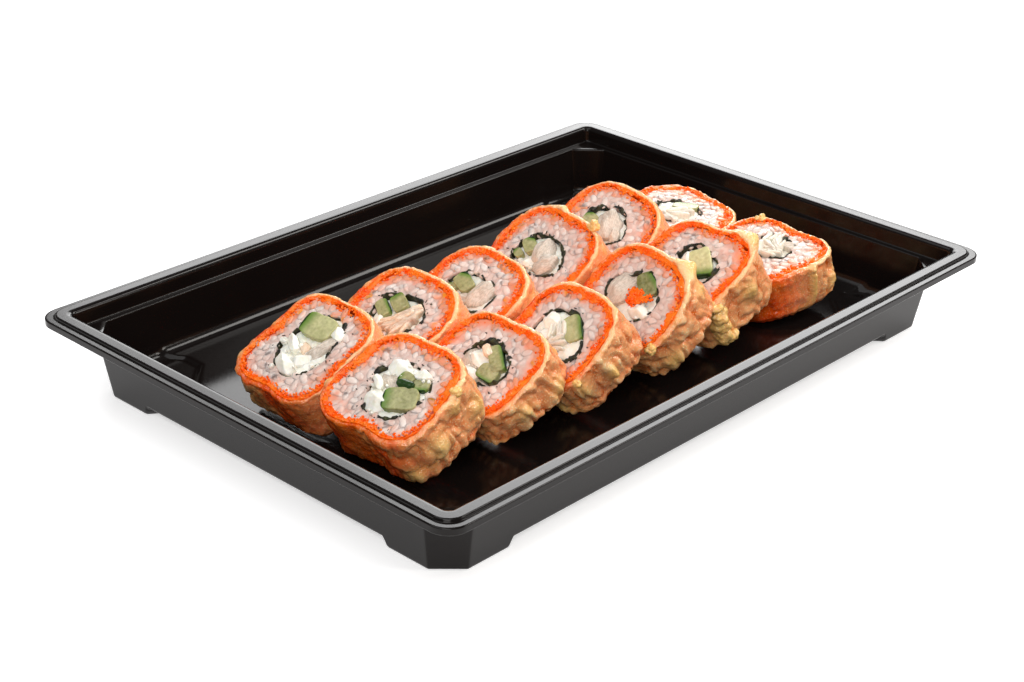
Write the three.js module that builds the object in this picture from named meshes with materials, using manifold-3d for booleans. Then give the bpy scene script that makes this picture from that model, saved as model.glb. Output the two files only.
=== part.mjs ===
// A black thermoformed takeaway tray with twelve slices of battered, deep-fried sushi roll.
// Millimetres, +Z up. The origin is under the middle of the tray, level with the soles of its feet.
// X runs along the tray. Both rows of slices lean back towards +X, their cut faces towards -X and up.

import * as THREE from 'three';
import { mergeVertices } from 'three/addons/utils/BufferGeometryUtils.js';
import Module from 'manifold-3d';

const wasm = await Module();
wasm.setup();

// ---- Tray: driving sizes ----

const MOUTH_LENGTH = 253.4;      // inside the flat rim
const MOUTH_WIDTH = 174.0;
const RIM_HEIGHT = 28.0;         // flat rim above the table
const RIM_WIDTH = 5.4;           // flat top of the rim
const LIP_REACH = 7.8;           // from the mouth to the edge of the lip
const LIP_DROP = 2.4;            // the lip's top below the flat rim
const LIP_DEPTH = 1.1;           // the lip's turned-down edge
const SHEET = 0.9;               // wall thickness
const LEDGE_DROP = 5.8;          // lid ledge below the rim
const LEDGE_WIDTH = 2.1;
const LEDGE_INSET = 0.8;         // draft of the wall above the ledge
const FLOOR_DROP = 23.8;         // inside depth
const WALL_DRAFT = 0.166;        // inward run of the wall for each millimetre down
const COVE = 2.8;                // the bend between wall and floor
const CORNER_STEPS = 4;
const LIP_RADIUS = 7.4;
const RIM_RADIUS = 6.0;
const MOUTH_RADIUS = 3.6;
const CORNER_CUT_TOP = 10.0;     // flat cut across each upright corner, outside, at the ledge
const CORNER_CUT_BOTTOM = 8.0;
const CUT_INSIDE = 0.8;          // how much smaller that cut is inside
const MOUTH_FLARE = 1.0;         // how far the hollow is carried on above the rim to cut it open

const FOOT_LENGTH = 26.4;        // along each wall from the corner, at the floor
const FOOT_TAPER = 2.6;          // shorter than that at the sole
const FOOT_FLARE = 5.0;          // how far the foot widens away from the wall
const FOOT_ROOT = 2.0;           // how far a foot runs up inside the wall from the floor
const SOLE_BEND = 0.6;

const FLOOR_TOP = RIM_HEIGHT - FLOOR_DROP;
const LEDGE_INNER = LEDGE_INSET + LEDGE_WIDTH;
const COVE_TOP = FLOOR_DROP - COVE * 0.6;
const FOOT_TOP = FLOOR_DROP + SHEET - 0.3;
const WALL_FOOT = LEDGE_INNER + (COVE_TOP - LEDGE_DROP) * WALL_DRAFT;

// ---- Slices: driving sizes ----

const GAP = 0.35;                // between neighbouring layers, and under a slice
const SEGMENTS = 22;
const BATTER_THIN = 1.1;         // batter where it lies thin
const BATTER_THICK = 2.3;        // and on the side where it has gathered
const ROE_WALL = 1.5;
const NORI_WALL = 0.7;
const CRAG = 1.5;                // how far the batter's crags stand out
const CRAG_LEVELS = [1.0, 0.66, 0.3, 0.0];
const GRAIN_RELIEF = 0.45;       // unevenness of the cut rice
const FILLING_RELIEF = 0.9;      // how far lumps of filling rise from the cut
const OUTLINE_TWIST = 0.4;

// Where each slice stands and how it is shaped. at: middle of the cut face. lean: how far the slice
// tips back from lying flat. turn: about the vertical. radius, thick: size. oval, skew, taper, square:
// how its outline departs from a circle. core: middle, two half sizes and turn of the seaweed ring,
// on the cut face, first towards the near long side and then up the slope.
const ROLLS = [
  {
    name: 'front_1', at: [-91.5, -28.5], lean: 30, turn: 3, radius: 21.2, thick: 20.0,
    oval: 1.4, skew: 0.4, taper: -0.8, square: -1.6, core: [1.5, -0.6, 10.8, 10.4, 30],
  },
  {
    name: 'front_2', at: [-57.0, -32.0], lean: 36, turn: -1, radius: 20.6, thick: 15.0,
    oval: 1.4, skew: 0.4, taper: 0.2, square: -1.2, core: [0.3, 0.5, 9.2, 8.4, 0],
  },
  {
    name: 'front_3', at: [-28.0, -37.5], lean: 43, turn: -2, radius: 19.6, thick: 18.0,
    oval: 0.4, skew: 0.6, taper: -0.6, square: -1.2, core: [-0.1, 0.4, 11.0, 8.4, -13],
  },
  {
    name: 'front_4', at: [7.5, -38.0], lean: 48, turn: -1, radius: 20.4, thick: 18.5,
    oval: 0.8, skew: -0.2, taper: -0.2, square: -0.6, core: [-0.7, 1.2, 10.7, 8.6, -7],
  },
  {
    name: 'front_5', at: [40.0, -35.5], lean: 35, turn: -2, radius: 21.0, thick: 20.0,
    oval: 1.2, skew: 1.0, taper: -0.2, square: -1.6, core: [2.0, 1.6, 9.4, 7.4, -30],
  },
  {
    name: 'front_6', at: [83.0, -36.0], lean: 10, turn: -2, radius: 21.4, thick: 17.0,
    oval: 0.4, skew: -0.4, taper: 1.6, square: -1.2, core: [-0.8, 3.6, 9.4, 8.0, 0],
  },
  {
    name: 'back_1', at: [-90.0, 13.5], lean: 30, turn: -2, radius: 21.4, thick: 17.0,
    oval: -0.4, skew: 0.6, taper: -0.6, square: -2.0, core: [0.7, 0.8, 9.6, 13.2, -9],
  },
  {
    name: 'back_2', at: [-54.5, 10.5], lean: 31, turn: -2, radius: 21.2, thick: 16.5,
    oval: 0.6, skew: 0.4, taper: 0.4, square: -0.8, core: [0.6, 0.8, 10.7, 8.6, 0],
  },
  {
    name: 'back_3', at: [-22.0, 8.0], lean: 31, turn: -2, radius: 20.2, thick: 16.5,
    oval: 1.2, skew: -0.2, taper: 0.2, square: -0.6, core: [-0.5, -0.4, 11.4, 7.8, -6],
  },
  {
    name: 'back_4', at: [13.0, 8.5], lean: 38, turn: -3, radius: 21.2, thick: 18.0,
    oval: 1.2, skew: -0.2, taper: 0.0, square: -0.8, core: [-0.4, -0.2, 11.4, 8.0, -3],
  },
  {
    name: 'back_5', at: [45.5, 8.0], lean: 36, turn: 1, radius: 21.2, thick: 18.0,
    oval: 0.8, skew: -0.4, taper: 0.0, square: -0.8, core: [-0.2, 2.0, 10.1, 7.6, -18],
  },
  {
    name: 'back_6', at: [88.0, 9.5], lean: 5, turn: -1, radius: 22.6, thick: 18.0,
    oval: 1.6, skew: -1.4, taper: 0.4, square: -0.8, core: [-0.7, 2.0, 9.8, 8.0, -13],
  },
];
// The last slice of the near row has so little seaweed that it is one piece with its filling.
const SEAWEED_IN_FILLING = 'front_6';

// ---- Finishes ----

const finish = (color, roughness) => new THREE.MeshStandardMaterial({ color, roughness, metalness: 0 });
const FINISHES = {
  tray: finish(0x17120f, 0.28),
  batter: finish(0xd9a262, 0.55),
  roe: finish(0xfa6212, 0.4),
  rice: finish(0xecd6cc, 0.5),
  nori: finish(0x1b2018, 0.6),
  filling: finish(0xdfe4c6, 0.5),
};

const model = new THREE.Group();

// ---- Closed skins from loops of points ----

// Joins each loop of points to the next. A ring also joins its last loop to its first; otherwise the
// first and last loops are closed by fans round their middles. Loops run anticlockwise seen from +Z
// and follow one another up the outside, inwards over the top and down the inside.
function skin(loops, isRing) {
  const count = loops[0].length;
  const positions = loops.flat(2);
  const faces = [];
  const bands = isRing ? loops.length : loops.length - 1;
  for (let band = 0; band < bands; band += 1) {
    const here = band * count;
    const next = ((band + 1) % loops.length) * count;
    for (let i = 0; i < count; i += 1) {
      const j = (i + 1) % count;
      faces.push(here + i, here + j, next + j);
      faces.push(here + i, next + j, next + i);
    }
  }
  if (!isRing) {
    const last = (loops.length - 1) * count;
    const bottom = loops.length * count;
    positions.push(...middle(loops[0]), ...middle(loops.at(-1)));
    for (let i = 0; i < count; i += 1) {
      const j = (i + 1) % count;
      faces.push(bottom, j, i);
      faces.push(bottom + 1, last + i, last + j);
    }
  }
  const geometry = new THREE.BufferGeometry();
  geometry.setAttribute('position', new THREE.Float32BufferAttribute(positions, 3));
  geometry.setIndex(faces);
  geometry.computeVertexNormals();
  return geometry;
}

function middle(loop) {
  const sum = [0, 0, 0];
  for (const point of loop) {
    for (let axis = 0; axis < 3; axis += 1) {
      sum[axis] += point[axis] / loop.length;
    }
  }
  return sum;
}

function toSolid(geometry) {
  const bare = geometry.clone();
  bare.deleteAttribute('normal');
  bare.deleteAttribute('uv');
  const merged = mergeVertices(bare);
  const mesh = new wasm.Mesh({
    numProp: 3,
    vertProperties: new Float32Array(merged.attributes.position.array),
    triVerts: new Uint32Array(merged.index.array),
  });
  return new wasm.Manifold(mesh);
}

function toGeometry(solid) {
  const mesh = solid.getMesh();
  const geometry = new THREE.BufferGeometry();
  geometry.setAttribute('position', new THREE.BufferAttribute(new Float32Array(mesh.vertProperties), 3));
  geometry.setIndex(new THREE.BufferAttribute(new Uint32Array(mesh.triVerts), 1));
  geometry.computeVertexNormals();
  return geometry;
}

// Repeatable random numbers from 0 to 1.
function seeded(seed) {
  let state = seed;
  return () => {
    state = (state * 16807) % 2147483647;
    return state / 2147483647;
  };
}

// ---- Tray ----

// One loop round the tray: inset inwards from the mouth, drop below the flat rim. Its corners are
// rounded, or cut off flat.
function trayLoop(inset, drop, corner) {
  const x = MOUTH_LENGTH / 2 - inset;
  const y = MOUTH_WIDTH / 2 - inset;
  const quarter = [];
  for (let step = 0; step <= CORNER_STEPS; step += 1) {
    const along = step / CORNER_STEPS;
    if (corner.cut) {
      quarter.push([x - corner.cut * along, y - corner.cut * (1 - along)]);
    } else {
      const angle = along * Math.PI / 2;
      quarter.push([
        x - corner.radius * (1 - Math.cos(angle)),
        y - corner.radius * (1 - Math.sin(angle)),
      ]);
    }
  }
  const back = [...quarter].reverse();
  const z = RIM_HEIGHT - drop;
  return [
    ...quarter.map(([px, py]) => [px, py, z]),
    ...back.map(([px, py]) => [-px, py, z]),
    ...quarter.map(([px, py]) => [-px, -py, z]),
    ...back.map(([px, py]) => [px, -py, z]),
  ];
}

const rounded = (radius) => ({ radius });

// The tray before it is hollowed: from the middle of the underside out round the lip to the flat rim.
function trayHull() {
  const low = { cut: CORNER_CUT_BOTTOM };
  const high = { cut: CORNER_CUT_TOP };
  return skin([
    trayLoop(WALL_FOOT + 1.6, FLOOR_DROP + SHEET, low),
    trayLoop(WALL_FOOT + 0.2, FLOOR_DROP + SHEET - 0.5, low),
    trayLoop(WALL_FOOT - SHEET + 0.1, COVE_TOP + SHEET, low),
    trayLoop(LEDGE_INNER - SHEET, LEDGE_DROP + SHEET, high),
    trayLoop(LEDGE_INSET - SHEET + 0.1, LEDGE_DROP + SHEET - 0.1, rounded(MOUTH_RADIUS)),
    trayLoop(-SHEET, SHEET, rounded(MOUTH_RADIUS)),
    trayLoop(SHEET - RIM_WIDTH, SHEET, rounded(RIM_RADIUS - SHEET)),
    trayLoop(SHEET - RIM_WIDTH - 0.3, LIP_DROP + SHEET, rounded(RIM_RADIUS - SHEET)),
    trayLoop(0.5 - LIP_REACH, LIP_DROP + LIP_DEPTH, rounded(LIP_RADIUS)),
    trayLoop(-LIP_REACH, LIP_DROP + LIP_DEPTH - 0.3, rounded(LIP_RADIUS)),
    trayLoop(-LIP_REACH, LIP_DROP + 0.3, rounded(LIP_RADIUS)),
    trayLoop(0.4 - LIP_REACH, LIP_DROP, rounded(LIP_RADIUS)),
    trayLoop(-RIM_WIDTH - 0.3, LIP_DROP, rounded(RIM_RADIUS)),
    trayLoop(-RIM_WIDTH, 0.5, rounded(RIM_RADIUS)),
    trayLoop(0.6 - RIM_WIDTH, 0.0, rounded(RIM_RADIUS)),
  ], false);
}

// The hollow inside the walls: from the floor up over the lid ledge and out through the mouth.
function trayHollow() {
  const low = { cut: CORNER_CUT_BOTTOM - CUT_INSIDE };
  const high = { cut: CORNER_CUT_TOP - CUT_INSIDE };
  return skin([
    trayLoop(WALL_FOOT + COVE, FLOOR_DROP, low),
    trayLoop(WALL_FOOT + COVE * 0.3, FLOOR_DROP - COVE * 0.15, low),
    trayLoop(WALL_FOOT, COVE_TOP, low),
    trayLoop(LEDGE_INNER, LEDGE_DROP + 0.1, high),
    trayLoop(LEDGE_INSET, LEDGE_DROP, rounded(MOUTH_RADIUS)),
    trayLoop(0.1, 0.4, rounded(MOUTH_RADIUS)),
    trayLoop(-0.3 - MOUTH_FLARE, -MOUTH_FLARE, rounded(MOUTH_RADIUS)),
  ], false);
}

// One loop of a corner foot, seen from above: flat cut corner, two straight walls, flared ends and
// a cut inner corner.
function footLoop(signX, signY, inset, length, drop) {
  const x = MOUTH_LENGTH / 2 - inset;
  const y = MOUTH_WIDTH / 2 - inset;
  const cut = CORNER_CUT_BOTTOM;
  const far = length + FOOT_FLARE;
  const plan = [
    [0, cut], [cut, 0],
    [length, 0], [far, 1.4 * FOOT_FLARE], [far, 0.6 * length],
    [0.6 * length, far], [1.4 * FOOT_FLARE, far], [0, length],
  ];
  const loop = plan.map(([u, v]) => [signX * (x - u), signY * (y - v), RIM_HEIGHT - drop]);
  return signX * signY > 0 ? loop : loop.reverse();
}

function makeTray() {
  const sole = RIM_HEIGHT;
  const insetAt = (drop) => LEDGE_INNER + (drop - LEDGE_DROP) * WALL_DRAFT - SHEET;
  let tray = toSolid(trayHull());
  const pockets = [];
  for (const signX of [1, -1]) {
    for (const signY of [1, -1]) {
      const soleLength = FOOT_LENGTH - FOOT_TAPER;
      const root = FLOOR_DROP - FOOT_ROOT;
      tray = tray.add(toSolid(skin([
        footLoop(signX, signY, insetAt(sole) + SOLE_BEND, soleLength - SOLE_BEND, sole),
        footLoop(signX, signY, insetAt(sole - SOLE_BEND), soleLength, sole - SOLE_BEND),
        footLoop(signX, signY, insetAt(FOOT_TOP) + 0.1, FOOT_LENGTH, FOOT_TOP),
        footLoop(signX, signY, insetAt(root) + 0.1, FOOT_LENGTH, root),
      ], false)));
      pockets.push(skin([
        footLoop(signX, signY, insetAt(sole) + SHEET, soleLength - 2 * SHEET, sole - SHEET),
        footLoop(signX, signY, insetAt(FLOOR_DROP) + SHEET + 0.2, FOOT_LENGTH - SHEET, FLOOR_DROP - 0.8),
      ], false));
    }
  }
  for (const hollow of [trayHollow(), ...pockets]) {
    tray = tray.subtract(toSolid(hollow));
  }
  const mesh = new THREE.Mesh(toGeometry(tray), FINISHES.tray);
  mesh.name = 'tray';
  model.add(mesh);
}

// ---- Slices ----

// A slice's outline as a distance from the middle of its face. Angle 0 points to the near long side
// of the tray and a quarter turn points up the slope.
function outline(roll, angle) {
  return roll.radius
    + roll.oval * Math.cos(2 * angle)
    + roll.skew * Math.sin(2 * angle)
    + roll.taper * Math.sin(3 * angle)
    + roll.square * Math.cos(4 * angle)
    + OUTLINE_TWIST * Math.sin(4 * angle);
}

// The side that faces away from the other row: batter gathers there and its crags stand out.
function freeSide(roll, angle) {
  const middleAngle = roll.name.startsWith('front') ? -0.45 : Math.PI + 0.45;
  return Math.max(0, Math.cos(angle - middleAngle));
}

function batterWall(roll, angle) {
  return BATTER_THIN + (BATTER_THICK - BATTER_THIN) * freeSide(roll, angle);
}

function roeWall(angle, phase) {
  return ROE_WALL + 0.3 * Math.sin(3 * angle + phase);
}

// The seaweed ring: an ellipse with a slow wave, round the core's own middle.
function coreRadius(roll, angle, phase) {
  const [, , across, along, turn] = roll.core;
  const from = angle - THREE.MathUtils.degToRad(turn);
  const ellipse = 1 / Math.hypot(Math.cos(from) / across, Math.sin(from) / along);
  return ellipse * (1 + 0.05 * Math.sin(3 * angle + phase) + 0.03 * Math.sin(5 * angle - phase));
}

// A loop round the middle of a face, or round the core's middle, at one height.
function faceLoop(radiusAt, height, centre = [0, 0]) {
  const loop = [];
  for (let i = 0; i < SEGMENTS; i += 1) {
    const angle = i / SEGMENTS * 2 * Math.PI;
    const radius = radiusAt(angle, i);
    const z = typeof height === 'function' ? height(i) : height;
    loop.push([
      centre[1] + radius * Math.sin(angle),
      -centre[0] - radius * Math.cos(angle),
      z,
    ]);
  }
  return loop;
}

function tube(outer, inner, thick, outerCentre, innerCentre) {
  return skin([
    faceLoop(outer, -thick, outerCentre),
    faceLoop(outer, 0, outerCentre),
    faceLoop(inner, 0, innerCentre),
    faceLoop(inner, -thick, innerCentre),
  ], true);
}

// Batter: crags grow from the cut edge to the middle of the side and fade again at the bottom.
function batterGeometry(roll, random) {
  const loops = CRAG_LEVELS.map((level) => {
    const swell = CRAG * Math.sin(Math.PI * (0.2 + 0.6 * level));
    const atCut = level === 0 ? 0.15 : 1;
    const radiusAt = (angle) => {
      const rough = swell * atCut * freeSide(roll, angle) * (random() - 0.25);
      return outline(roll, angle) + rough;
    };
    return faceLoop(radiusAt, -roll.thick * level);
  });
  const inner = (angle) => outline(roll, angle) - batterWall(roll, angle);
  loops.push(faceLoop(inner, 0), faceLoop(inner, -roll.thick));
  return skin(loops, true);
}

function sliceGeometries(roll, index) {
  const random = seeded(4001 + 97 * index);
  const phase = 1.7 * index;
  const centre = roll.core.slice(0, 2);
  const roeOuter = (angle) => outline(roll, angle) - batterWall(roll, angle) - GAP;
  const roeInner = (angle) => roeOuter(angle) - roeWall(angle, phase);
  const riceOuter = (angle) => roeInner(angle) - GAP;
  const ring = (shrink) => (angle) => coreRadius(roll, angle, phase) - shrink;
  const hasOwnNori = roll.name !== SEAWEED_IN_FILLING;
  const riceInner = ring(-GAP);
  const grains = faceLoop(
    (angle) => 0.5 * (riceOuter(angle) + riceInner(angle)),
    () => GRAIN_RELIEF * (2 * random() - 1),
    centre.map((value) => value / 2),
  );
  const fillingOuter = ring(hasOwnNori ? NORI_WALL + GAP : 0);
  const parts = {
    batter: batterGeometry(roll, random),
    roe: tube(roeOuter, roeInner, roll.thick),
    rice: skin([
      faceLoop(riceOuter, -roll.thick),
      faceLoop(riceOuter, 0),
      grains,
      faceLoop(riceInner, 0, centre),
      faceLoop(riceInner, -roll.thick, centre),
    ], true),
    filling: skin([
      faceLoop(fillingOuter, -roll.thick, centre),
      faceLoop(fillingOuter, 0, centre),
      faceLoop((angle) => 0.55 * fillingOuter(angle), () => FILLING_RELIEF * random(), centre),
    ], false),
  };
  if (hasOwnNori) {
    parts.nori = tube(ring(0), ring(NORI_WALL), roll.thick, centre, centre);
  }
  return parts;
}

// The height of the face's middle at which the slice's lowest edge just clears the floor.
function faceHeight(roll) {
  const lean = THREE.MathUtils.degToRad(roll.lean);
  let reach = 0;
  for (let degrees = 180; degrees < 360; degrees += 1) {
    const angle = THREE.MathUtils.degToRad(degrees);
    reach = Math.max(reach, -outline(roll, angle) * Math.sin(angle));
  }
  return FLOOR_TOP + GAP + roll.thick * Math.cos(lean) + reach * Math.sin(lean);
}

function makeSlice(roll, index) {
  const stand = new THREE.Group();
  stand.position.set(roll.at[0], roll.at[1], faceHeight(roll));
  stand.rotation.z = THREE.MathUtils.degToRad(roll.turn);
  const tip = new THREE.Group();
  tip.rotation.y = -THREE.MathUtils.degToRad(roll.lean);
  stand.add(tip);
  for (const [layer, geometry] of Object.entries(sliceGeometries(roll, index))) {
    const mesh = new THREE.Mesh(geometry, FINISHES[layer]);
    mesh.name = `${layer}_${roll.name}`;
    tip.add(mesh);
  }
  model.add(stand);
}

makeTray();
ROLLS.forEach(makeSlice);

export default model;
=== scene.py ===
"""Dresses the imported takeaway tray: a glossy black sheet tray and two shingled rows of battered,
fried roll slices, each with its crust, roe, cut rice, seaweed and filling.

Lengths inside the shape functions are millimetres and become metres in place() and tray_points().
On a cut face, v runs towards the near long side of the tray, u runs up the slope and h stands off
the face. An angle of 0 points along v and a quarter turn points along u.
"""

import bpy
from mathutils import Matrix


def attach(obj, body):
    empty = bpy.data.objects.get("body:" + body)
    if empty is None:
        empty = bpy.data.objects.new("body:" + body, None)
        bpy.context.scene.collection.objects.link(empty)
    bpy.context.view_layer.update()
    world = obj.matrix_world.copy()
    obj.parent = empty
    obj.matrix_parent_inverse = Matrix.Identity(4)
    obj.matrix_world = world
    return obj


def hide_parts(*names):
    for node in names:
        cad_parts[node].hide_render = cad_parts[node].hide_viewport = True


bl_info = {
    "name": "Fried roll tray",
    "version": (1, 0, 0),
    "blender": (4, 5, 0),
    "location": "3D View > Sidebar > Fried rolls",
    "description": "Builds a black takeaway tray with battered, fried roll slices",
    "category": "Object",
}

from collections import namedtuple

import bpy
import numpy as np
from mathutils import Matrix
from bpy.props import FloatProperty
from bpy.props import FloatVectorProperty
from bpy.props import IntProperty
from bpy.props import PointerProperty

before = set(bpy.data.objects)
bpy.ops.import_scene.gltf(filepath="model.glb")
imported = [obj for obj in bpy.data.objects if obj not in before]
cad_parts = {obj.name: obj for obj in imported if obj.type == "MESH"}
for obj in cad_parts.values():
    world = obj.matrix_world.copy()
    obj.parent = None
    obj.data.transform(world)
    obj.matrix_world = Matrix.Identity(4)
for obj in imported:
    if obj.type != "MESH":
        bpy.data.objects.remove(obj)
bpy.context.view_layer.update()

MM = 0.001
TURN = 2.0 * np.pi

# Mean radius, in millimetres, at which the roe meets the rice.
ROE_RADIUS = 17.0

# ---- Stage ----
# Lengths in metres. The camera's axes are its right, its up and the way from its target back to it.

FLOOR_HALF = 3.0
FLOOR_GLOW = 0.5
CAMERA_SENSOR_MM = 36.0
CAMERA_LENS_MM = 70.52
CAMERA_AXES = (
    (0.68705547, -0.72633975, 0.01963034),
    (0.309023, 0.31654747, 0.89682913),
    (-0.65761657, -0.61010513, 0.44194136),
)
CAMERA_PLACE = (-0.4587, -0.417112, 0.310218)

# name, size, value that holds its power, share of that power, place, target, tint, roll in degrees.
Light = namedtuple("Light", "name size power share place target tint roll")

FOOD_MIDDLE = (0.0, 0.0, 0.02)
WHITE = (1.0, 1.0, 1.0)
LIGHTS = [
    Light("overhead", (1.2, 1.0), "key", 1.0, (-0.4, 0.05, 1.1), FOOD_MIDDLE, WHITE, 0.0),
    Light("behind_right", (0.53, 0.60), "back", 1.0, (1.091, 0.727, 0.739), (0.108, -0.128, 0.102),
          WHITE, 27.0),
    Light("behind_left", (0.42, 0.60), "back", 0.55, (0.885, 1.109, 0.545), (-0.098, 0.253, -0.091),
          WHITE, 27.0),
    Light("right", (0.4, 0.6), "side", 1.0, (0.80, -0.46, 0.88), FOOD_MIDDLE, (1.0, 0.97, 0.93), 0.0),
    Light("front_right", (0.28, 0.28), "front", 1.0, (0.45, -0.95, 0.6), FOOD_MIDDLE, (1.0, 0.95, 0.88),
          0.0),
    Light("left", (0.7, 0.6), "fill", 1.0, (-0.95, -0.7, 0.7), FOOD_MIDDLE, (1.0, 0.97, 0.94), 0.0),
]

# ---- Where each slice stands ----
# name, number, place in the tray (x, y), lean of its face from level and turn about upright in
# degrees, mean radius, thickness, waves of its outline (oval, skew, three-sided, square), and its core:
# middle (v, u), half sizes across and along, turn.

Slice = namedtuple("Slice", "name number at lean turn radius thick waves core")

SLICES = [
    Slice("front_1", 0, (-91.5, -28.5), 30, 3, 21.2, 20.0, (1.4, 0.4, -0.8, -1.6),
          (1.5, -0.6, 10.8, 10.4, 30)),
    Slice("front_2", 1, (-57.0, -32.0), 36, -1, 20.6, 15.0, (1.4, 0.4, 0.2, -1.2),
          (0.3, 0.5, 9.2, 8.4, 0)),
    Slice("front_3", 2, (-28.0, -37.5), 43, -2, 19.6, 18.0, (0.4, 0.6, -0.6, -1.2),
          (-0.1, 0.4, 11.0, 8.4, -13)),
    Slice("front_4", 3, (7.5, -38.0), 48, -1, 20.4, 18.5, (0.8, -0.2, -0.2, -0.6),
          (-0.7, 1.2, 10.7, 8.6, -7)),
    Slice("front_5", 4, (40.0, -35.5), 35, -2, 21.0, 20.0, (1.2, 1.0, -0.2, -1.6),
          (2.0, 1.6, 9.4, 7.4, -30)),
    Slice("front_6", 5, (83.0, -36.0), 10, -2, 21.4, 17.0, (0.4, -0.4, 1.6, -1.2),
          (-0.8, 3.6, 9.4, 8.0, 0)),
    Slice("back_1", 6, (-90.0, 13.5), 30, -2, 21.4, 17.0, (-0.4, 0.6, -0.6, -2.0),
          (0.7, 0.8, 9.6, 13.2, -9)),
    Slice("back_2", 7, (-54.5, 10.5), 31, -2, 21.2, 16.5, (0.6, 0.4, 0.4, -0.8),
          (0.6, 0.8, 10.7, 8.6, 0)),
    Slice("back_3", 8, (-22.0, 8.0), 31, -2, 20.2, 16.5, (1.2, -0.2, 0.2, -0.6),
          (-0.5, -0.4, 11.4, 7.8, -6)),
    Slice("back_4", 9, (13.0, 8.5), 38, -3, 21.2, 18.0, (1.2, -0.2, 0.0, -0.8),
          (-0.4, -0.2, 11.4, 8.0, -3)),
    Slice("back_5", 10, (45.5, 8.0), 36, 1, 21.2, 18.0, (0.8, -0.4, 0.0, -0.8),
          (-0.2, 2.0, 10.1, 7.6, -18)),
    Slice("back_6", 11, (88.0, 9.5), 5, -1, 22.6, 18.0, (1.6, -1.4, 0.4, -0.8),
          (-0.7, 2.0, 9.8, 8.0, -13)),
]

# ---- What lies in the seaweed of each slice ----
# kind, middle (v, u), half sizes (long, short), turn of the long one, squareness, top above the cut,
# and for cucumber the direction of its skin.

Chunk = namedtuple("Chunk", "kind middle half turn square top skin")

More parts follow.
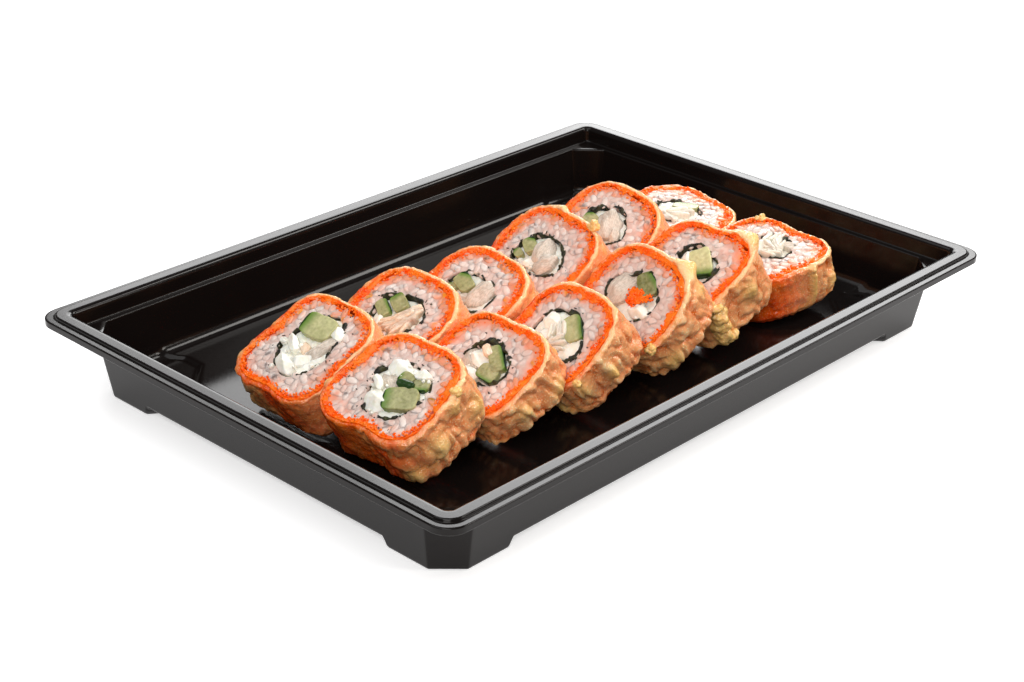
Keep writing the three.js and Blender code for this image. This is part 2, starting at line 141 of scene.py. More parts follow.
CHUNKS = {
    "front_1": [
        Chunk("cheese", (-2.6, 6.3), (4.6, 2.8), 9, 2.4, 0.9, 0),
        Chunk("fish", (-3.0, 1.7), (4.4, 2.6), 144, 2.6, 0.3, 0),
        Chunk("cucumber", (1.9, 4.1), (2.8, 2.3), -7, 3.5, 0.4, 200),
        Chunk("cucumber", (8.4, 4.0), (2.6, 2.3), 4, 2.6, 1.0, 290),
        Chunk("cheese", (7.4, 6.4), (2.9, 1.6), 20, 2.4, 2.2, 0),
        Chunk("rind", (4.0, 1.8), (3.2, 1.8), 5, 2.2, 1.2, 0),
        Chunk("cucumber", (5.5, -3.3), (5.8, 3.9), 23, 4.5, 1.5, 205),
        Chunk("cheese", (-1.8, -6.8), (5.0, 4.2), 151, 2.6, 1.2, 0),
        Chunk("cheese", (-5.2, -0.9), (3.4, 1.5), 146, 2.2, 1.4, 0),
    ],
    "front_2": [
        Chunk("fish", (-6.0, 0.9), (4.8, 3.0), 136, 2.8, 0.4, 0),
        Chunk("cheese", (-2.3, 1.5), (4.3, 2.6), 150, 2.4, 0.8, 0),
        Chunk("shrimp", (-1.7, 5.0), (2.9, 1.6), 140, 2.6, 0.7, 0),
        Chunk("cucumber", (3.3, 3.7), (5.4, 2.5), 138, 3.5, 0.6, 48),
        Chunk("cucumber", (4.1, -1.8), (3.6, 3.0), 175, 4.0, 0.9, 270),
        Chunk("cheese", (-1.8, -4.0), (4.3, 2.1), 166, 2.4, 1.0, 0),
    ],
    "front_3": [
        Chunk("cheese", (-4.6, 3.4), (3.6, 3.0), 121, 2.4, 0.8, 0),
        Chunk("crab", (-1.0, 1.4), (4.2, 3.2), 100, 2.4, 1.0, 0),
        Chunk("cheese", (-4.8, -1.6), (3.4, 2.8), 60, 2.4, 1.1, 0),
        Chunk("crab", (1.4, -3.0), (3.6, 2.6), 30, 2.4, 0.8, 0),
        Chunk("cucumber", (3.6, 4.1), (4.8, 3.4), 137, 4.0, 0.5, 40),
    ],
    "front_4": [
        Chunk("fish", (-6.4, 2.3), (7.0, 4.6), 71, 3.0, 0.6, 0),
        Chunk("cucumber", (2.5, 6.6), (4.7, 3.4), 131, 3.5, 0.4, 60),
        Chunk("roe", (2.0, 1.4), (4.3, 3.2), 11, 2.2, 1.2, 0),
        Chunk("cheese", (4.8, -3.2), (4.2, 2.5), 0, 2.4, 0.9, 0),
    ],
    "front_5": [
        Chunk("cheese", (-2.4, 2.6), (3.8, 1.9), 131, 2.4, 0.7, 0),
        Chunk("cucumber", (3.4, 3.2), (5.9, 3.9), 132, 4.5, 0.9, 300),
        Chunk("crab", (0.6, -2.6), (3.8, 2.0), 20, 2.4, 0.4, 0),
    ],
    "front_6": [
        Chunk("crab", (-2.0, 7.2), (4.4, 3.2), 110, 2.4, 0.9, 0),
        Chunk("crab", (2.6, 4.6), (4.6, 3.6), 140, 2.4, 1.2, 0),
        Chunk("cheese", (-3.4, 1.6), (4.2, 3.0), 60, 2.4, 0.8, 0),
        Chunk("crab", (3.0, 0.4), (4.4, 2.8), 20, 2.4, 0.9, 0),
        Chunk("fish", (5.4, 8.0), (3.4, 2.4), 30, 2.6, 0.6, 0),
    ],
    "back_1": [
        Chunk("cucumber", (-0.6, 7.7), (6.2, 4.3), 4, 4.5, 1.7, 185),
        Chunk("cheese", (7.2, 8.6), (3.4, 2.3), 155, 2.4, 1.0, 0),
        Chunk("fish", (6.0, 1.6), (7.0, 2.6), 70, 2.8, 0.7, 0),
        Chunk("cheese", (3.0, -4.0), (5.4, 2.6), 60, 2.6, 0.9, 0),
        Chunk("shrimp", (1.0, -0.6), (2.6, 1.7), 126, 2.4, 0.3, 0),
        Chunk("cheese", (-4.1, -1.0), (4.6, 2.0), 150, 2.2, 1.9, 0),
        Chunk("cheese", (-1.0, -8.0), (5.2, 3.4), 154, 2.8, 1.8, 0),
    ],
    "back_2": [
        Chunk("cucumber", (-6.1, 1.0), (3.5, 2.3), 149, 4.0, 0.6, 60),
        Chunk("cucumber", (-1.8, 5.0), (3.6, 2.7), 155, 4.0, 0.9, 150),
        Chunk("shrimp", (4.6, 1.3), (7.2, 3.1), 66, 2.8, 0.6, 0),
        Chunk("shrimp", (1.2, -2.6), (5.2, 2.3), 50, 2.6, 0.3, 0),
        Chunk("cheese", (-4.4, -3.4), (3.0, 1.8), 130, 2.4, 0.3, 0),
    ],
    "back_3": [
        Chunk("cucumber", (-4.6, 2.2), (4.0, 2.9), 158, 4.0, 0.5, 100),
        Chunk("fish", (4.2, 0.6), (6.0, 4.2), 73, 3.4, 0.9, 0),
        Chunk("fish", (-2.0, -3.6), (4.6, 2.2), 20, 2.6, 0.2, 0),
        Chunk("cucumber", (-8.0, -1.4), (2.4, 1.7), 40, 3.0, 0.2, 160),
    ],
    "back_4": [
        Chunk("cucumber", (-6.4, 2.0), (3.4, 2.4), 143, 4.0, 0.5, 100),
        Chunk("cucumber", (-8.6, -2.4), (2.3, 1.6), 152, 3.0, 0.4, 180),
        Chunk("fish", (0.6, 1.6), (5.6, 3.8), 97, 3.0, 0.8, 0),
        Chunk("fish", (4.0, -2.6), (5.2, 3.6), 40, 3.0, 1.0, 0),
        Chunk("cheese", (-2.8, -4.4), (3.2, 2.0), 20, 2.4, 0.5, 0),
    ],
    "back_5": [
        Chunk("cucumber", (-7.2, 2.6), (2.9, 2.3), 170, 3.0, 0.4, 120),
        Chunk("fish", (0.4, 2.8), (6.6, 5.0), 128, 2.8, 0.8, 0),
        Chunk("fish", (5.6, -0.6), (3.2, 2.3), 110, 2.6, 0.3, 0),
    ],
    "back_6": [
        Chunk("cucumber", (-0.2, 7.2), (5.0, 2.6), 20, 3.5, 0.5, 110),
        Chunk("crab", (1.8, 1.2), (5.6, 3.4), 41, 2.4, 0.9, 0),
        Chunk("cheese", (-5.0, 0.4), (3.4, 2.6), 60, 2.4, 0.8, 0),
        Chunk("crab", (1.0, -3.4), (4.8, 2.2), 10, 2.4, 0.6, 0),
    ],
}

# Tone of the cucumber in a slice, from dark and watery (0) to pale (1).
USUAL_TONE = 0.3
CUCUMBER_TONES = {"front_5": 1.0, "front_3": 0.55, "back_1": 0.6, "front_4": 0.0}

# Depth of the cheese between the pieces of filling, below the cut, in well-filled and other slices.
FULL_DEPTH = 0.9
USUAL_DEPTH = 1.8
FULL_SLICES = ("front_1", "front_3", "back_1", "back_6")

# Size in metres of one unit of the pattern of fibres and folds.
FIBRE_PATTERN = 0.004

# The slice whose seaweed has no node of its own, because it is one with the filling.
FUSED_SEAWEED = "front_6"

# Flecks of seaweed that the knife has spread over a face.
MANY_FLECKS = 26
USUAL_FLECKS = 9
FLECKED_SLICES = ("front_1", "back_1", "back_2")

# Shreds in a chunk of crab, and crumbs round a lump of cheese.
SHREDS = 9
CRUMBLES = 5

# Seeds of the random draws, to which each slice adds its number.
CHUNK_SEED = 5000
GRAIN_SEED = 900
EGG_SEED = 700
FLECK_SEED = 300
SHRED_SEED = 80

# ---- Batter ----
# Directions round a slice, in radians: the middles of its crumpled side and of its thickest batter, by
# row or slice, the top, which the material paints paler, partly as a paler coat of batter and partly as
# painted light from above, and the bare orange side of the first slice.

CRUMPLED = {"front": -0.42, "back": np.pi + 0.3, "front_6": 1.25}
THICKEST = {"front": -0.45, "back": np.pi + 0.45}
PALE_LIT_TOP = {"front": 0.75, "back": 0.75, "front_6": 1.2}
BARE_SIDE = {"front_1": -1.25}

# How much longer than wide the ridges are, through a slice, and how far its back edge is rounded in.
RIDGE_STRETCH = 1.9
BACK_ROUNDING = 1.2

# Larger lumps, flaps and runs of batter: slice, angle in degrees, depth below the cut, spread round in
# degrees, spread along, height.

Lump = namedtuple("Lump", "slice angle depth round along height")

LUMPS = [
    Lump("front_1", 8, 3.0, 7, 2.6, 1.5),
    Lump("front_1", 197, 1.5, 5, 1.6, 1.8),
    Lump("front_1", -20, 9.0, 9, 5.0, 1.4),
    Lump("front_1", 28, 12.0, 9, 4.0, 1.6),
    Lump("front_1", -48, 15.0, 8, 4.0, 1.5),
    Lump("front_2", -16, 6.0, 8, 3.4, 1.2),
    Lump("front_2", 20, 11.0, 8, 3.4, 1.6),
    Lump("front_3", -66, 12.0, 7, 3.0, 1.8),
    Lump("front_3", -4, 9.0, 5, 3.0, 2.6),
    Lump("front_3", -34, 5.0, 5, 5.0, 1.4),
    Lump("front_4", 56, 2.6, 10, 3.2, 3.6),
    Lump("front_4", 40, 8.0, 9, 3.0, 1.8),
    Lump("front_4", -30, 12.0, 9, 4.0, 1.6),
    Lump("front_5", 62, 2.6, 12, 3.8, 4.2),
    Lump("front_5", -32, 17.0, 9, 4.0, 2.4),
    Lump("front_5", 10, 8.0, 8, 4.0, 1.6),
    Lump("front_6", 3, 7.0, 3.6, 9.0, 2.0),
    Lump("front_6", 30, 10.0, 8, 4.0, 1.4),
    Lump("back_4", 104, 1.2, 8, 1.8, 1.6),
    Lump("back_6", 40, 8.0, 9, 4.0, 1.2),
]

# Loose crumbs of batter: slice, place (v, u, h), half size.
CRUMBS = [
    ("back_4", (12.5, 17.5, 0.4), 2.3),
    ("front_4", (16.5, -13.0, 0.2), 2.0),
    ("front_5", (18.4, -9.4, -1.8), 2.7),
    ("front_5", (19.2, -10.2, -5.0), 3.6),
    ("front_5", (18.8, -11.0, -9.0), 3.8),
    ("front_5", (18.4, -11.8, -13.2), 3.5),
    ("front_5", (19.4, -9.6, -16.6), 2.6),
    ("front_1", (20.0, 6.5, 0.2), 1.9),
    ("front_6", (-15.0, 16.5, 0.4), 2.0),
    ("front_3", (16.5, -11.5, -0.4), 1.5),
]


# ---- Numbers worked out from places ----

CELL_FACTORS = np.array([127.1, 311.7, 74.7])
SEED_FACTOR = 53.3
SINE_FACTOR = 43758.5453


def chance(cells, seed):
    """Random numbers from 0 to 1, one for each cell: the last digits of a large multiple of the sine of
    the cell's numbers, each times its own factor, and the seed."""
    mixed = cells @ CELL_FACTORS + SEED_FACTOR * seed
    return (np.sin(mixed) * SINE_FACTOR) % 1.0


def soft_noise(points, seed):
    """Smooth noise from -1 to 1: chance values at whole-number places, blended by 3t squared - 2t cubed."""
    base = np.floor(points)
    part = points - base
    climb = part * part * (3.0 - 2.0 * part)
    total = np.zeros(points.shape[:-1])
    for corner in np.ndindex(2, 2, 2):
        corner = np.array(corner)
        weight = np.prod(np.where(corner == 1, climb, 1.0 - climb), axis=-1)
        total += weight * chance(base + corner, seed)
    return 2.0 * total - 1.0


def cell_distance(points, seed):
    """Distance from each place to the nearest of one random point in every unit cell."""
    base = np.floor(points)
    nearest = np.full(points.shape[:-1], np.inf)
    for corner in np.ndindex(3, 3, 3):
        cell = base + np.array(corner) - 1.0
        spot = np.stack([chance(cell, seed + k) for k in range(3)], axis=-1)
        nearest = np.minimum(nearest, np.linalg.norm(cell + spot - points, axis=-1))
    return nearest


def mounds(points, seed):
    """Rounded mounds that meet in creases: 1 at the middle of a mound, less the distance from it
    squared."""
    return 1.0 - np.minimum(cell_distance(points, seed), 1.2) ** 2


def blobs(points, seed):
    """Soft round lumps that run together: a bell about one random point in every unit cell, added up
    and levelled off at 1."""
    base = np.floor(points)
    total = np.zeros(points.shape[:-1])
    for corner in np.ndindex(3, 3, 3):
        cell = base + np.array(corner) - 1.0
        spot = np.stack([chance(cell, seed + k) for k in range(3)], axis=-1)
        size = 1.6 + 5.0 * chance(cell, seed + 3)
        total += np.exp(-size * np.sum((cell + spot - points) ** 2, axis=-1))
    return 1.0 - np.exp(-1.3 * total)


def folds_of(points, seed):
    """Rounded folds with narrow creases between them: the size of a smooth noise, to a power of 0.7."""
    return np.abs(soft_noise(points, seed)) ** 0.7


def ease(low, high, value):
    """0 below low and 1 above high, with a climb of 3t squared - 2t cubed between."""
    t = np.clip((value - low) / (high - low), 0.0, 1.0)
    return t * t * (3.0 - 2.0 * t)


# ---- Meshes from grids of points ----

def grid_faces(rows, columns, ring):
    """Quads that join each row of a grid to the next, round all its columns. A ring also joins the
    last row to the first."""
    row = np.arange(rows if ring else rows - 1)[:, None]
    column = np.arange(columns)[None, :]
    after = (row + 1) % rows
    beside = (column + 1) % columns
    quads = [
        row * columns + column,
        row * columns + beside,
        after * columns + beside,
        after * columns + column,
    ]
    return np.stack(np.broadcast_arrays(*quads), axis=-1).reshape(-1, 4)


def shell(points, ring=False):
    """Vertices, quads and triangles of a closed skin. A grid that is no ring gets a pole at each end,
    in the middle of its first and last rows."""
    rows, columns = points.shape[:2]
    vertices = points.reshape(-1, 3)
    quads = grid_faces(rows, columns, ring)
    triangles = np.zeros((0, 3), dtype=int)
    if not ring:
        here = np.arange(columns)
        beside = (here + 1) % columns
        last = (rows - 1) * columns
        pole = len(vertices)
        low = np.stack([np.full(columns, pole), beside, here], axis=-1)
        high = np.stack([np.full(columns, pole + 1), last + here, last + beside], axis=-1)
        triangles = np.concatenate([low, high])
        vertices = np.concatenate([vertices, points[0].mean(0)[None], points[-1].mean(0)[None]])
    return vertices, quads, triangles


def spread(values, ring=False):
    """One number for each vertex of the shell of the same grid."""
    flat = values.reshape(-1)
    if ring:
        return flat
    return np.concatenate([flat, [values[0].mean()], [values[-1].mean()]])


def joined(shells):
    """Several shells as one set of vertices, quads and triangles."""
    start = np.cumsum([0] + [len(part[0]) for part in shells[:-1]])
    vertices = np.concatenate([part[0] for part in shells])
    quads = np.concatenate([part[1] + first for part, first in zip(shells, start)])
    triangles = np.concatenate([part[2] + first for part, first in zip(shells, start)])
    return vertices, quads, triangles


def make_piece(name, body, material, slot, replaces=(), smooth=True, **values):
    """Puts a joined shell into a mesh object, with its named numbers for the material, hangs it under the
    empty of the body it rides on and hides the imported nodes that it stands for. The slot is not used."""
    vertices, quads, triangles = body
    mesh = bpy.data.meshes.new(name)
    mesh.vertices.add(len(vertices))
    mesh.vertices.foreach_set("co", vertices.astype(np.float32).ravel())
    corners = np.concatenate([quads.ravel(), triangles.ravel()]).astype(np.int32)
    starts = np.concatenate([np.arange(len(quads)) * 4, len(quads) * 4 + np.arange(len(triangles)) * 3])
    mesh.loops.add(len(corners))
    mesh.loops.foreach_set("vertex_index", corners)
    mesh.polygons.add(len(starts))
    mesh.polygons.foreach_set("loop_start", starts.astype(np.int32))
    mesh.update(calc_edges=True)
    if smooth:
        mesh.shade_smooth()
    else:
        mesh.shade_flat()
    for key, numbers in values.items():
        layer = mesh.attributes.new(key, "FLOAT", "POINT")
        layer.data.foreach_set("value", np.asarray(numbers, dtype=np.float32))
    mesh.materials.append(material)
    piece = bpy.data.objects.new(name, mesh)
    bpy.context.scene.collection.objects.link(piece)
    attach(piece, "root")
    if replaces:
        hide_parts(*replaces)


def copies(template, places, turns, sizes):
    """Copies of one small closed shape as a joined shell: size, then turn, then place."""
    vertices, quads, triangles = template
    sized = vertices[None] * sizes[:, None, :]
    turned = np.einsum("nij,nkj->nki", turns, sized) + places[:, None, :]
    first = np.arange(len(places))[:, None, None] * len(vertices)
    return (
        turned.reshape(-1, 3),
        (quads[None] + first).reshape(-1, 4),
        (triangles[None] + first).reshape(-1, 3),
    )


def ball(rows, columns):
    """A unit ball: rings of latitude between two poles, each as wide as the sine of its polar angle and
    as low as the cosine."""
    polar = np.linspace(0.0, np.pi, rows + 2)[1:-1, None]
    angle = round_angles(columns)
    points = np.stack([
        np.sin(polar) * np.cos(angle),
        np.sin(polar) * np.sin(angle),
        -np.cos(polar) + 0.0 * angle,
    ], axis=-1)
    vertices, quads, triangles = shell(points)
    vertices[-2] = (0.0, 0.0, -1.0)
    vertices[-1] = (0.0, 0.0, 1.0)
    return vertices, quads, triangles


def random_turns(random, count):
    """Turns spread evenly over all directions, from quaternions of four normal draws."""
    q = random.normal(size=(count, 4))
    w, x, y, z = (q / np.linalg.norm(q, axis=1, keepdims=True)).T
    return np.stack([
        np.stack([1 - 2 * (y * y + z * z), 2 * (x * y - z * w), 2 * (x * z + y * w)], axis=-1),
        np.stack([2 * (x * y + z * w), 1 - 2 * (x * x + z * z), 2 * (y * z - x * w)], axis=-1),
        np.stack([2 * (x * z - y * w), 2 * (y * z + x * w), 1 - 2 * (x * x + y * y)], axis=-1),
    ], axis=1)


def scattered(random, inside, reach, spacing, tries):
    """Places on the face at least spacing apart: each of many random draws is kept if it passes the
    inside test and no kept one is nearer."""
    kept = np.zeros((0, 2))
    for spot in random.uniform(-reach, reach, size=(tries, 2)):
        if not inside(spot):
            continue
        if len(kept) and np.min(np.hypot(*(kept - spot).T)) < spacing:
            continue
        kept = np.vstack([kept, spot])
    return kept


# ---- Slice shapes ----

def row_of(cut):
    """The row that a slice stands in."""
    return cut.name.split("_")[0]


def for_slice(table, cut):
    """The value of a slice in a table, or that of its row."""
    return table.get(cut.name, table[row_of(cut)])


def outline(cut, angle):
    """Distance from the middle of the face to the outside of the batter: a circle with waves of two,
    three and four to the turn."""
    oval, skew, taper, square = cut.waves
    twist = bpy.context.scene.roll_sizes.outline_twist / MM
    return (
        cut.radius
        + oval * np.cos(2 * angle)
        + skew * np.sin(2 * angle)
        + taper * np.sin(3 * angle)
        + square * np.cos(4 * angle)
        + twist * np.sin(4 * angle)
    )


def free_side(cut, angle):
    """1 where the batter of a slice has crumpled, mostly on its side towards the tray's long wall: an
    eased cosine of the angle from the middle of that side."""
    return ease(0.0, 0.72, np.cos(angle - for_slice(CRUMPLED, cut)))


def batter_inside(cut, angle):
    """Radius of the inside of the batter: its outline less a wall that is thicker on the free side."""
    sizes = bpy.context.scene.roll_sizes
    gathered = np.maximum(0.0, np.cos(angle - for_slice(THICKEST, cut)))
    wall = sizes.batter_thin + (sizes.batter_thick - sizes.batter_thin) * gathered
    return outline(cut, angle) - wall / MM


def roe_inside(cut, angle):
    """Radius of the inside of the roe: the batter's less the roe's wall, a slow wave and an overlap."""
    wall = bpy.context.scene.roll_sizes.roe_wall / MM
    phase = 1.7 * cut.number
    return batter_inside(cut, angle) - wall - 0.3 * np.sin(3 * angle + phase) - 0.35


def core_radius(cut, angle):
    """Radius of the seaweed ring about its own middle: an ellipse with slow waves."""
    across, along, turn = cut.core[2:]
    phase = 1.7 * cut.number
    start = angle - np.radians(turn)
    ellipse = 1.0 / np.hypot(np.cos(start) / across, np.sin(start) / along)
    return ellipse * (1.0 + 0.05 * np.sin(3 * angle + phase) + 0.03 * np.sin(5 * angle - phase))


def floor_height():
    """Height in millimetres at which the lowest edge of a slice just clears the tray's floor."""
    sizes = bpy.context.scene.tray_sizes
    return (sizes.rim_height - sizes.depth + sizes.gap) / MM


def face_height(cut):
    """Height of the face's middle when the slice's lowest edge just clears the tray's floor: the
    slice's thickness and its lower reach, each leaned."""
    lean = np.radians(cut.lean)
    angle = np.linspace(np.pi, TURN, 181)
    reach = np.max(-outline(cut, angle) * np.sin(angle))
    return floor_height() + cut.thick * np.cos(lean) + reach * np.sin(lean)


def place(cut, v, u, h):
    """Places in metres from millimetres on a slice's face: the slice's lean, then its turn, then its
    stand in the tray."""
    lean = np.radians(cut.lean)
    turn = np.radians(cut.turn)
    along = u * np.cos(lean) - h * np.sin(lean)
    up = u * np.sin(lean) + h * np.cos(lean)
    x = along * np.cos(turn) + v * np.sin(turn) + cut.at[0]
    y = along * np.sin(turn) - v * np.cos(turn) + cut.at[1]
    z = up + face_height(cut)
    return np.stack(np.broadcast_arrays(x, y, z), axis=-1) * MM


def height_over(cut, spots):
    """Height of places, in metres, over the plane of a slice's face, in millimetres."""
    lean = np.radians(cut.lean)
    turn = np.radians(cut.turn)
    x = spots[..., 0] / MM - cut.at[0]
    y = spots[..., 1] / MM - cut.at[1]
    z = spots[..., 2] / MM - face_height(cut)
    along = x * np.cos(turn) + y * np.sin(turn)
    return z * np.cos(lean) - along * np.sin(lean)


def back_reach(cut, angle):
    """How much further than its thickness a slice reaches back, to press on the face of the slice
    behind it: more on the side away from the long wall, and never below the floor. The last slice of a
    row has none behind it, and the one before it stands further off."""
    if cut.name.endswith("_6"):
        return 0.0 * angle
    clearance = 0.5
    least_before_last = 3.0
    upper_reach = 2.4
    inner_reach = 6.0
    floor_margin = 0.3
    lean = np.radians(cut.lean)
    edge = round_face(cut, outline(cut, angle), angle, -cut.thick)
    gap = height_over(SLICES[cut.number + 1], edge) - clearance
    if cut.name.endswith("_5"):
        gap = np.maximum(gap, least_before_last)
    side = np.cos(angle) if row_of(cut) == "front" else -np.cos(angle)
    most = upper_reach * ease(-0.15, 0.45, np.sin(angle)) + inner_reach * ease(0.3, -0.3, side)
    room = (edge[..., 2] / MM - floor_height()) / np.cos(lean) - floor_margin
    return np.maximum(0.0, np.minimum(np.minimum(gap, room), most))


def round_face(cut, radius, angle, height, middle=(0.0, 0.0)):
    """Places round the middle of a face, from a radius, an angle and a height over the face."""
    return place(cut, middle[0] + radius * np.cos(angle), middle[1] + radius * np.sin(angle), height)


def round_angles(count):
    """Angles of one turn, as a row."""
    return np.arange(count)[None, :] / count * TURN


def blend_rows(stops, counts):
    """Rows of numbers that run straight from each stop to the next, in the given number of steps."""
    rows = []
    for first, second, count in zip(stops[:-1], stops[1:], counts):
        share = np.arange(count)[:, None] / count
        rows.append(np.array(first) * (1.0 - share) + np.array(second) * share)
    rows.append(np.array([stops[-1]], dtype=float))
    return np.concatenate(rows)


def lump_relief(cut, angle, depth, lumps):
    """Height of the larger lumps of a slice: for each a bell of the angle and the depth from its
    middle, made uneven by the blobs."""
    relief = 0.0 * lumps
    for lump in LUMPS:
        if lump.slice == cut.name:
            off = (np.degrees(angle) - lump.angle + 180.0) % 360.0 - 180.0
            bell = np.exp(-((off / lump.round) ** 2) - ((depth - lump.depth) / lump.along) ** 2)
            relief = relief + bell * (0.6 + 0.6 * lumps) * lump.height
    return relief


def crust(cut):
    """Batter round one slice. Two parameters: the angle, and a closed path from the back edge along
    the outside, over the cut edge and back along the inside. The outside stands out from the outline
    by a weighted sum of blobs, folds, beads and noises, which is craggy on the free side and sleek
    elsewhere, and by the larger lumps. The places that the noises read are warped by slow noise, and
    the cut edge is lifted by noise. Also returns the numbers that the material reads."""
    looks = bpy.context.scene.crust_looks
    angle = round_angles(looks.steps_round)
    back = cut.thick
    # Share of the way from the outside to the inside, and depth below the cut.
    rows = blend_rows([
        (0.0, back), (0.0, 1.2), (0.06, 0.4), (0.3, 0.0), (0.75, 0.0),
        (0.96, 0.3), (1.0, 0.9), (1.0, back),
    ], [looks.steps_deep, 3, 3, 3, 2, 1, 4])
    side = rows[:, :1]
    depth = rows[:, 1:] * (1.0 + back_reach(cut, angle) / back * ease(0.5, 3.0, rows[:, 1:]))
    base = outline(cut, angle)
    slice_shift = 31.0 * cut.number
    spot = np.stack(np.broadcast_arrays(
        base * np.cos(angle), base * np.sin(angle), depth,
    ), axis=-1) + slice_shift
    spot = spot + 1.5 * np.stack([soft_noise(spot / 5.0, 60 + k) for k in range(3)], axis=-1)
    rough = free_side(cut, angle) * ease(-1.5, 2.5, depth) + 0.0 * depth
    rough = np.clip(rough + 0.35 * soft_noise(spot / 8.0, 70), 0.0, 1.0)
    along = np.array([1.0, 1.0, RIDGE_STRETCH])
    lumps = blobs(spot / (looks.big_mound / MM * along), 19)
    soft = soft_noise(spot / (looks.small_mound / MM * along), 13)
    folds = folds_of(spot / (2.9 * along), 3)
    beads = blobs(spot / 1.5, 29)
    fine = soft_noise(spot / 0.8, 23)
    # Blobs, folds and beads have their mean taken off, so that they dent as much as they stand out.
    lifted = lumps - 0.62
    folded = folds - 0.6
    beaded = beads - 0.65
    crags = 1.3 * lifted + 0.35 * soft + 1.7 * folded + 0.6 * beaded + 0.1 * fine
    sleek = 0.5 * soft_noise(spot / 3.6, 33) + 0.5 * beaded + 0.25 * soft + 0.08 * fine
    large = lump_relief(cut, angle, depth, lumps)
    relief = looks.crag / MM * (rough * crags + (1.0 - rough) * sleek) + large
    outer = base + relief * ease(0.0, 2.0, depth + 0.9)
    outer = outer - BACK_ROUNDING * ease(back - 2.0, back, rows[:, 1:])
    inner = batter_inside(cut, angle) - 0.1 + 0.45 * soft_noise(spot / 2.2, 44)
    radius = outer * (1.0 - side) + inner * side
    rim = ease(1.2, 0.0, depth)
    lift = rim * (0.4 * soft_noise(spot / 1.7, 43) + 0.1 + 0.35 * np.clip(large, 0.0, 2.0))
    points = round_face(cut, radius, angle, lift - depth)
    # Height of the crags: the material paints the creases darker, partly as painted shade, and the tips
    # paler, partly as painted highlight.
    rise = np.clip(0.5 + 0.32 * crags + 0.15 * large, 0.0, 1.0)
    # Nearness to the slice's upper side, which the material paints paler: partly a paler coat of batter,
    # partly painted light from above.
    veil = ease(-0.45, 0.5, np.cos(angle - for_slice(PALE_LIT_TOP, cut))) + 0.0 * depth
    if cut.name in BARE_SIDE:
        rough = rough * (1.0 - 0.75 * ease(0.3, 0.9, np.cos(angle - BARE_SIDE[cut.name])))
    rough = np.clip(rough + 0.5 * large, 0.0, 1.0)
    crisp = np.clip(0.55 * large, 0.0, 1.0)
    # Rim at the cut, stronger on the upper side, where the material paints it peach as a painted highlight.
    edge = np.exp(-np.maximum(depth, 0.0) / 1.2) * (0.3 + 0.7 * ease(-0.2, 0.7, np.sin(angle + 0.3)))
    return shell(points, ring=True), {
        "rough": spread(rough, True),
        "rise": spread(rise, True),
        "edge": spread(edge, True),
        "veil": spread(veil, True),
        "crisp": spread(crisp, True),
        "inward": spread(side + 0.0 * angle, True),
    }


def layer_ring(cut, outside, inside, top, columns, across):
    """A closed ring of food through the slice, between two closed lines, with a relief on its cut face:
    top(v, u, share from the outer line to the inner) gives its height. Two parameters: the angle, and
    a path from the back up the outside, over the face and down the inside. Each place lies on the
    straight line between the two lines. Also returns the share."""
    angle = round_angles(columns)
    # Share of the way from the outer line to the inner, and depth below the cut.
    rows = blend_rows([
        (0.0, cut.thick), (0.0, 0.6), (0.02, 0.1), (0.98, 0.1), (1.0, 0.6), (1.0, cut.thick),
    ], [2, 2, across, 2, 2])
    share = rows[:, :1]
    depth = rows[:, 1:]
    outer = outside(angle)
    inner = inside(angle)
    v = outer[0] * (1.0 - share) + inner[0] * share
    u = outer[1] * (1.0 - share) + inner[1] * share
    on_top = ease(0.7, 0.1, depth)
    lift = top(v, u, share) * on_top
    return place(cut, v, u, lift - depth), share + 0.0 * angle


def about_middle(cut, radius_of, shift=0.0):
    """A closed line about the middle of the face, as v and u: a radius and a shift, at each angle."""
    def line(angle):
        radius = radius_of(cut, angle) + shift
        return radius * np.cos(angle), radius * np.sin(angle)
    return line


def about_core(cut, shift=0.0):
    """A closed line about the middle of the core, as v and u: its radius and a shift, at each angle."""
    def line(angle):
        radius = core_radius(cut, angle) + shift
        return cut.core[0] + radius * np.cos(angle), cut.core[1] + radius * np.sin(angle)
    return line


def local_noise(cut, v, u, size, seed, kind=soft_noise):
    """Noise on the plane of a face: the place over the size of the noise, moved for each slice."""
    spot = np.stack(np.broadcast_arrays(v, u, 0.37 + 0.0 * v), axis=-1) / size
    return kind(spot + 17.0 * cut.number, seed)


def inside_rice(cut, margin):
    """A test that is true on the rice, at least margin from its edges."""
    def test(spot):
        angle = np.arctan2(spot[1], spot[0])
        if np.hypot(*spot) > roe_inside(cut, angle) - margin:
            return False
        off = spot - np.array(cut.core[:2])
        return np.hypot(*off) > core_radius(cut, np.arctan2(off[1], off[0])) + margin
    return test


def polygon_reach(angle, sides, power, random):
    """Distance from a middle to the edge of an uneven polygon with softened corners: one over the power
    sum of the cosines towards its sides, each over the distance of that side."""
    facing = (np.arange(sides) + random.uniform(-0.22, 0.22, sides)) / sides * TURN
    facing = facing + random.uniform(0, TURN)
    away = random.uniform(0.82, 1.0, sides)
    near = np.maximum(np.cos(angle - facing[:, None]), 0.0) / away[:, None]
    return np.sum(near ** power, axis=0, keepdims=True) ** (-1.0 / power)


def facets(p, q, random):
    """Height of a broken lump: the lowest of a few planes that lean away from an off-centre tip."""
    planes = 5
    tip = random.uniform(-0.3, 0.3, 2)
    lowest = 1.0 + 0.0 * (p + q)
    for direction in random.uniform(0.0, 0.9, planes) + np.arange(planes) * TURN / planes:
        lean = random.uniform(0.35, 1.1)
        plane = 1.0 - lean * ((p - tip[0]) * np.cos(direction) + (q - tip[1]) * np.sin(direction))
        lowest = np.minimum(lowest, plane)
    return lowest


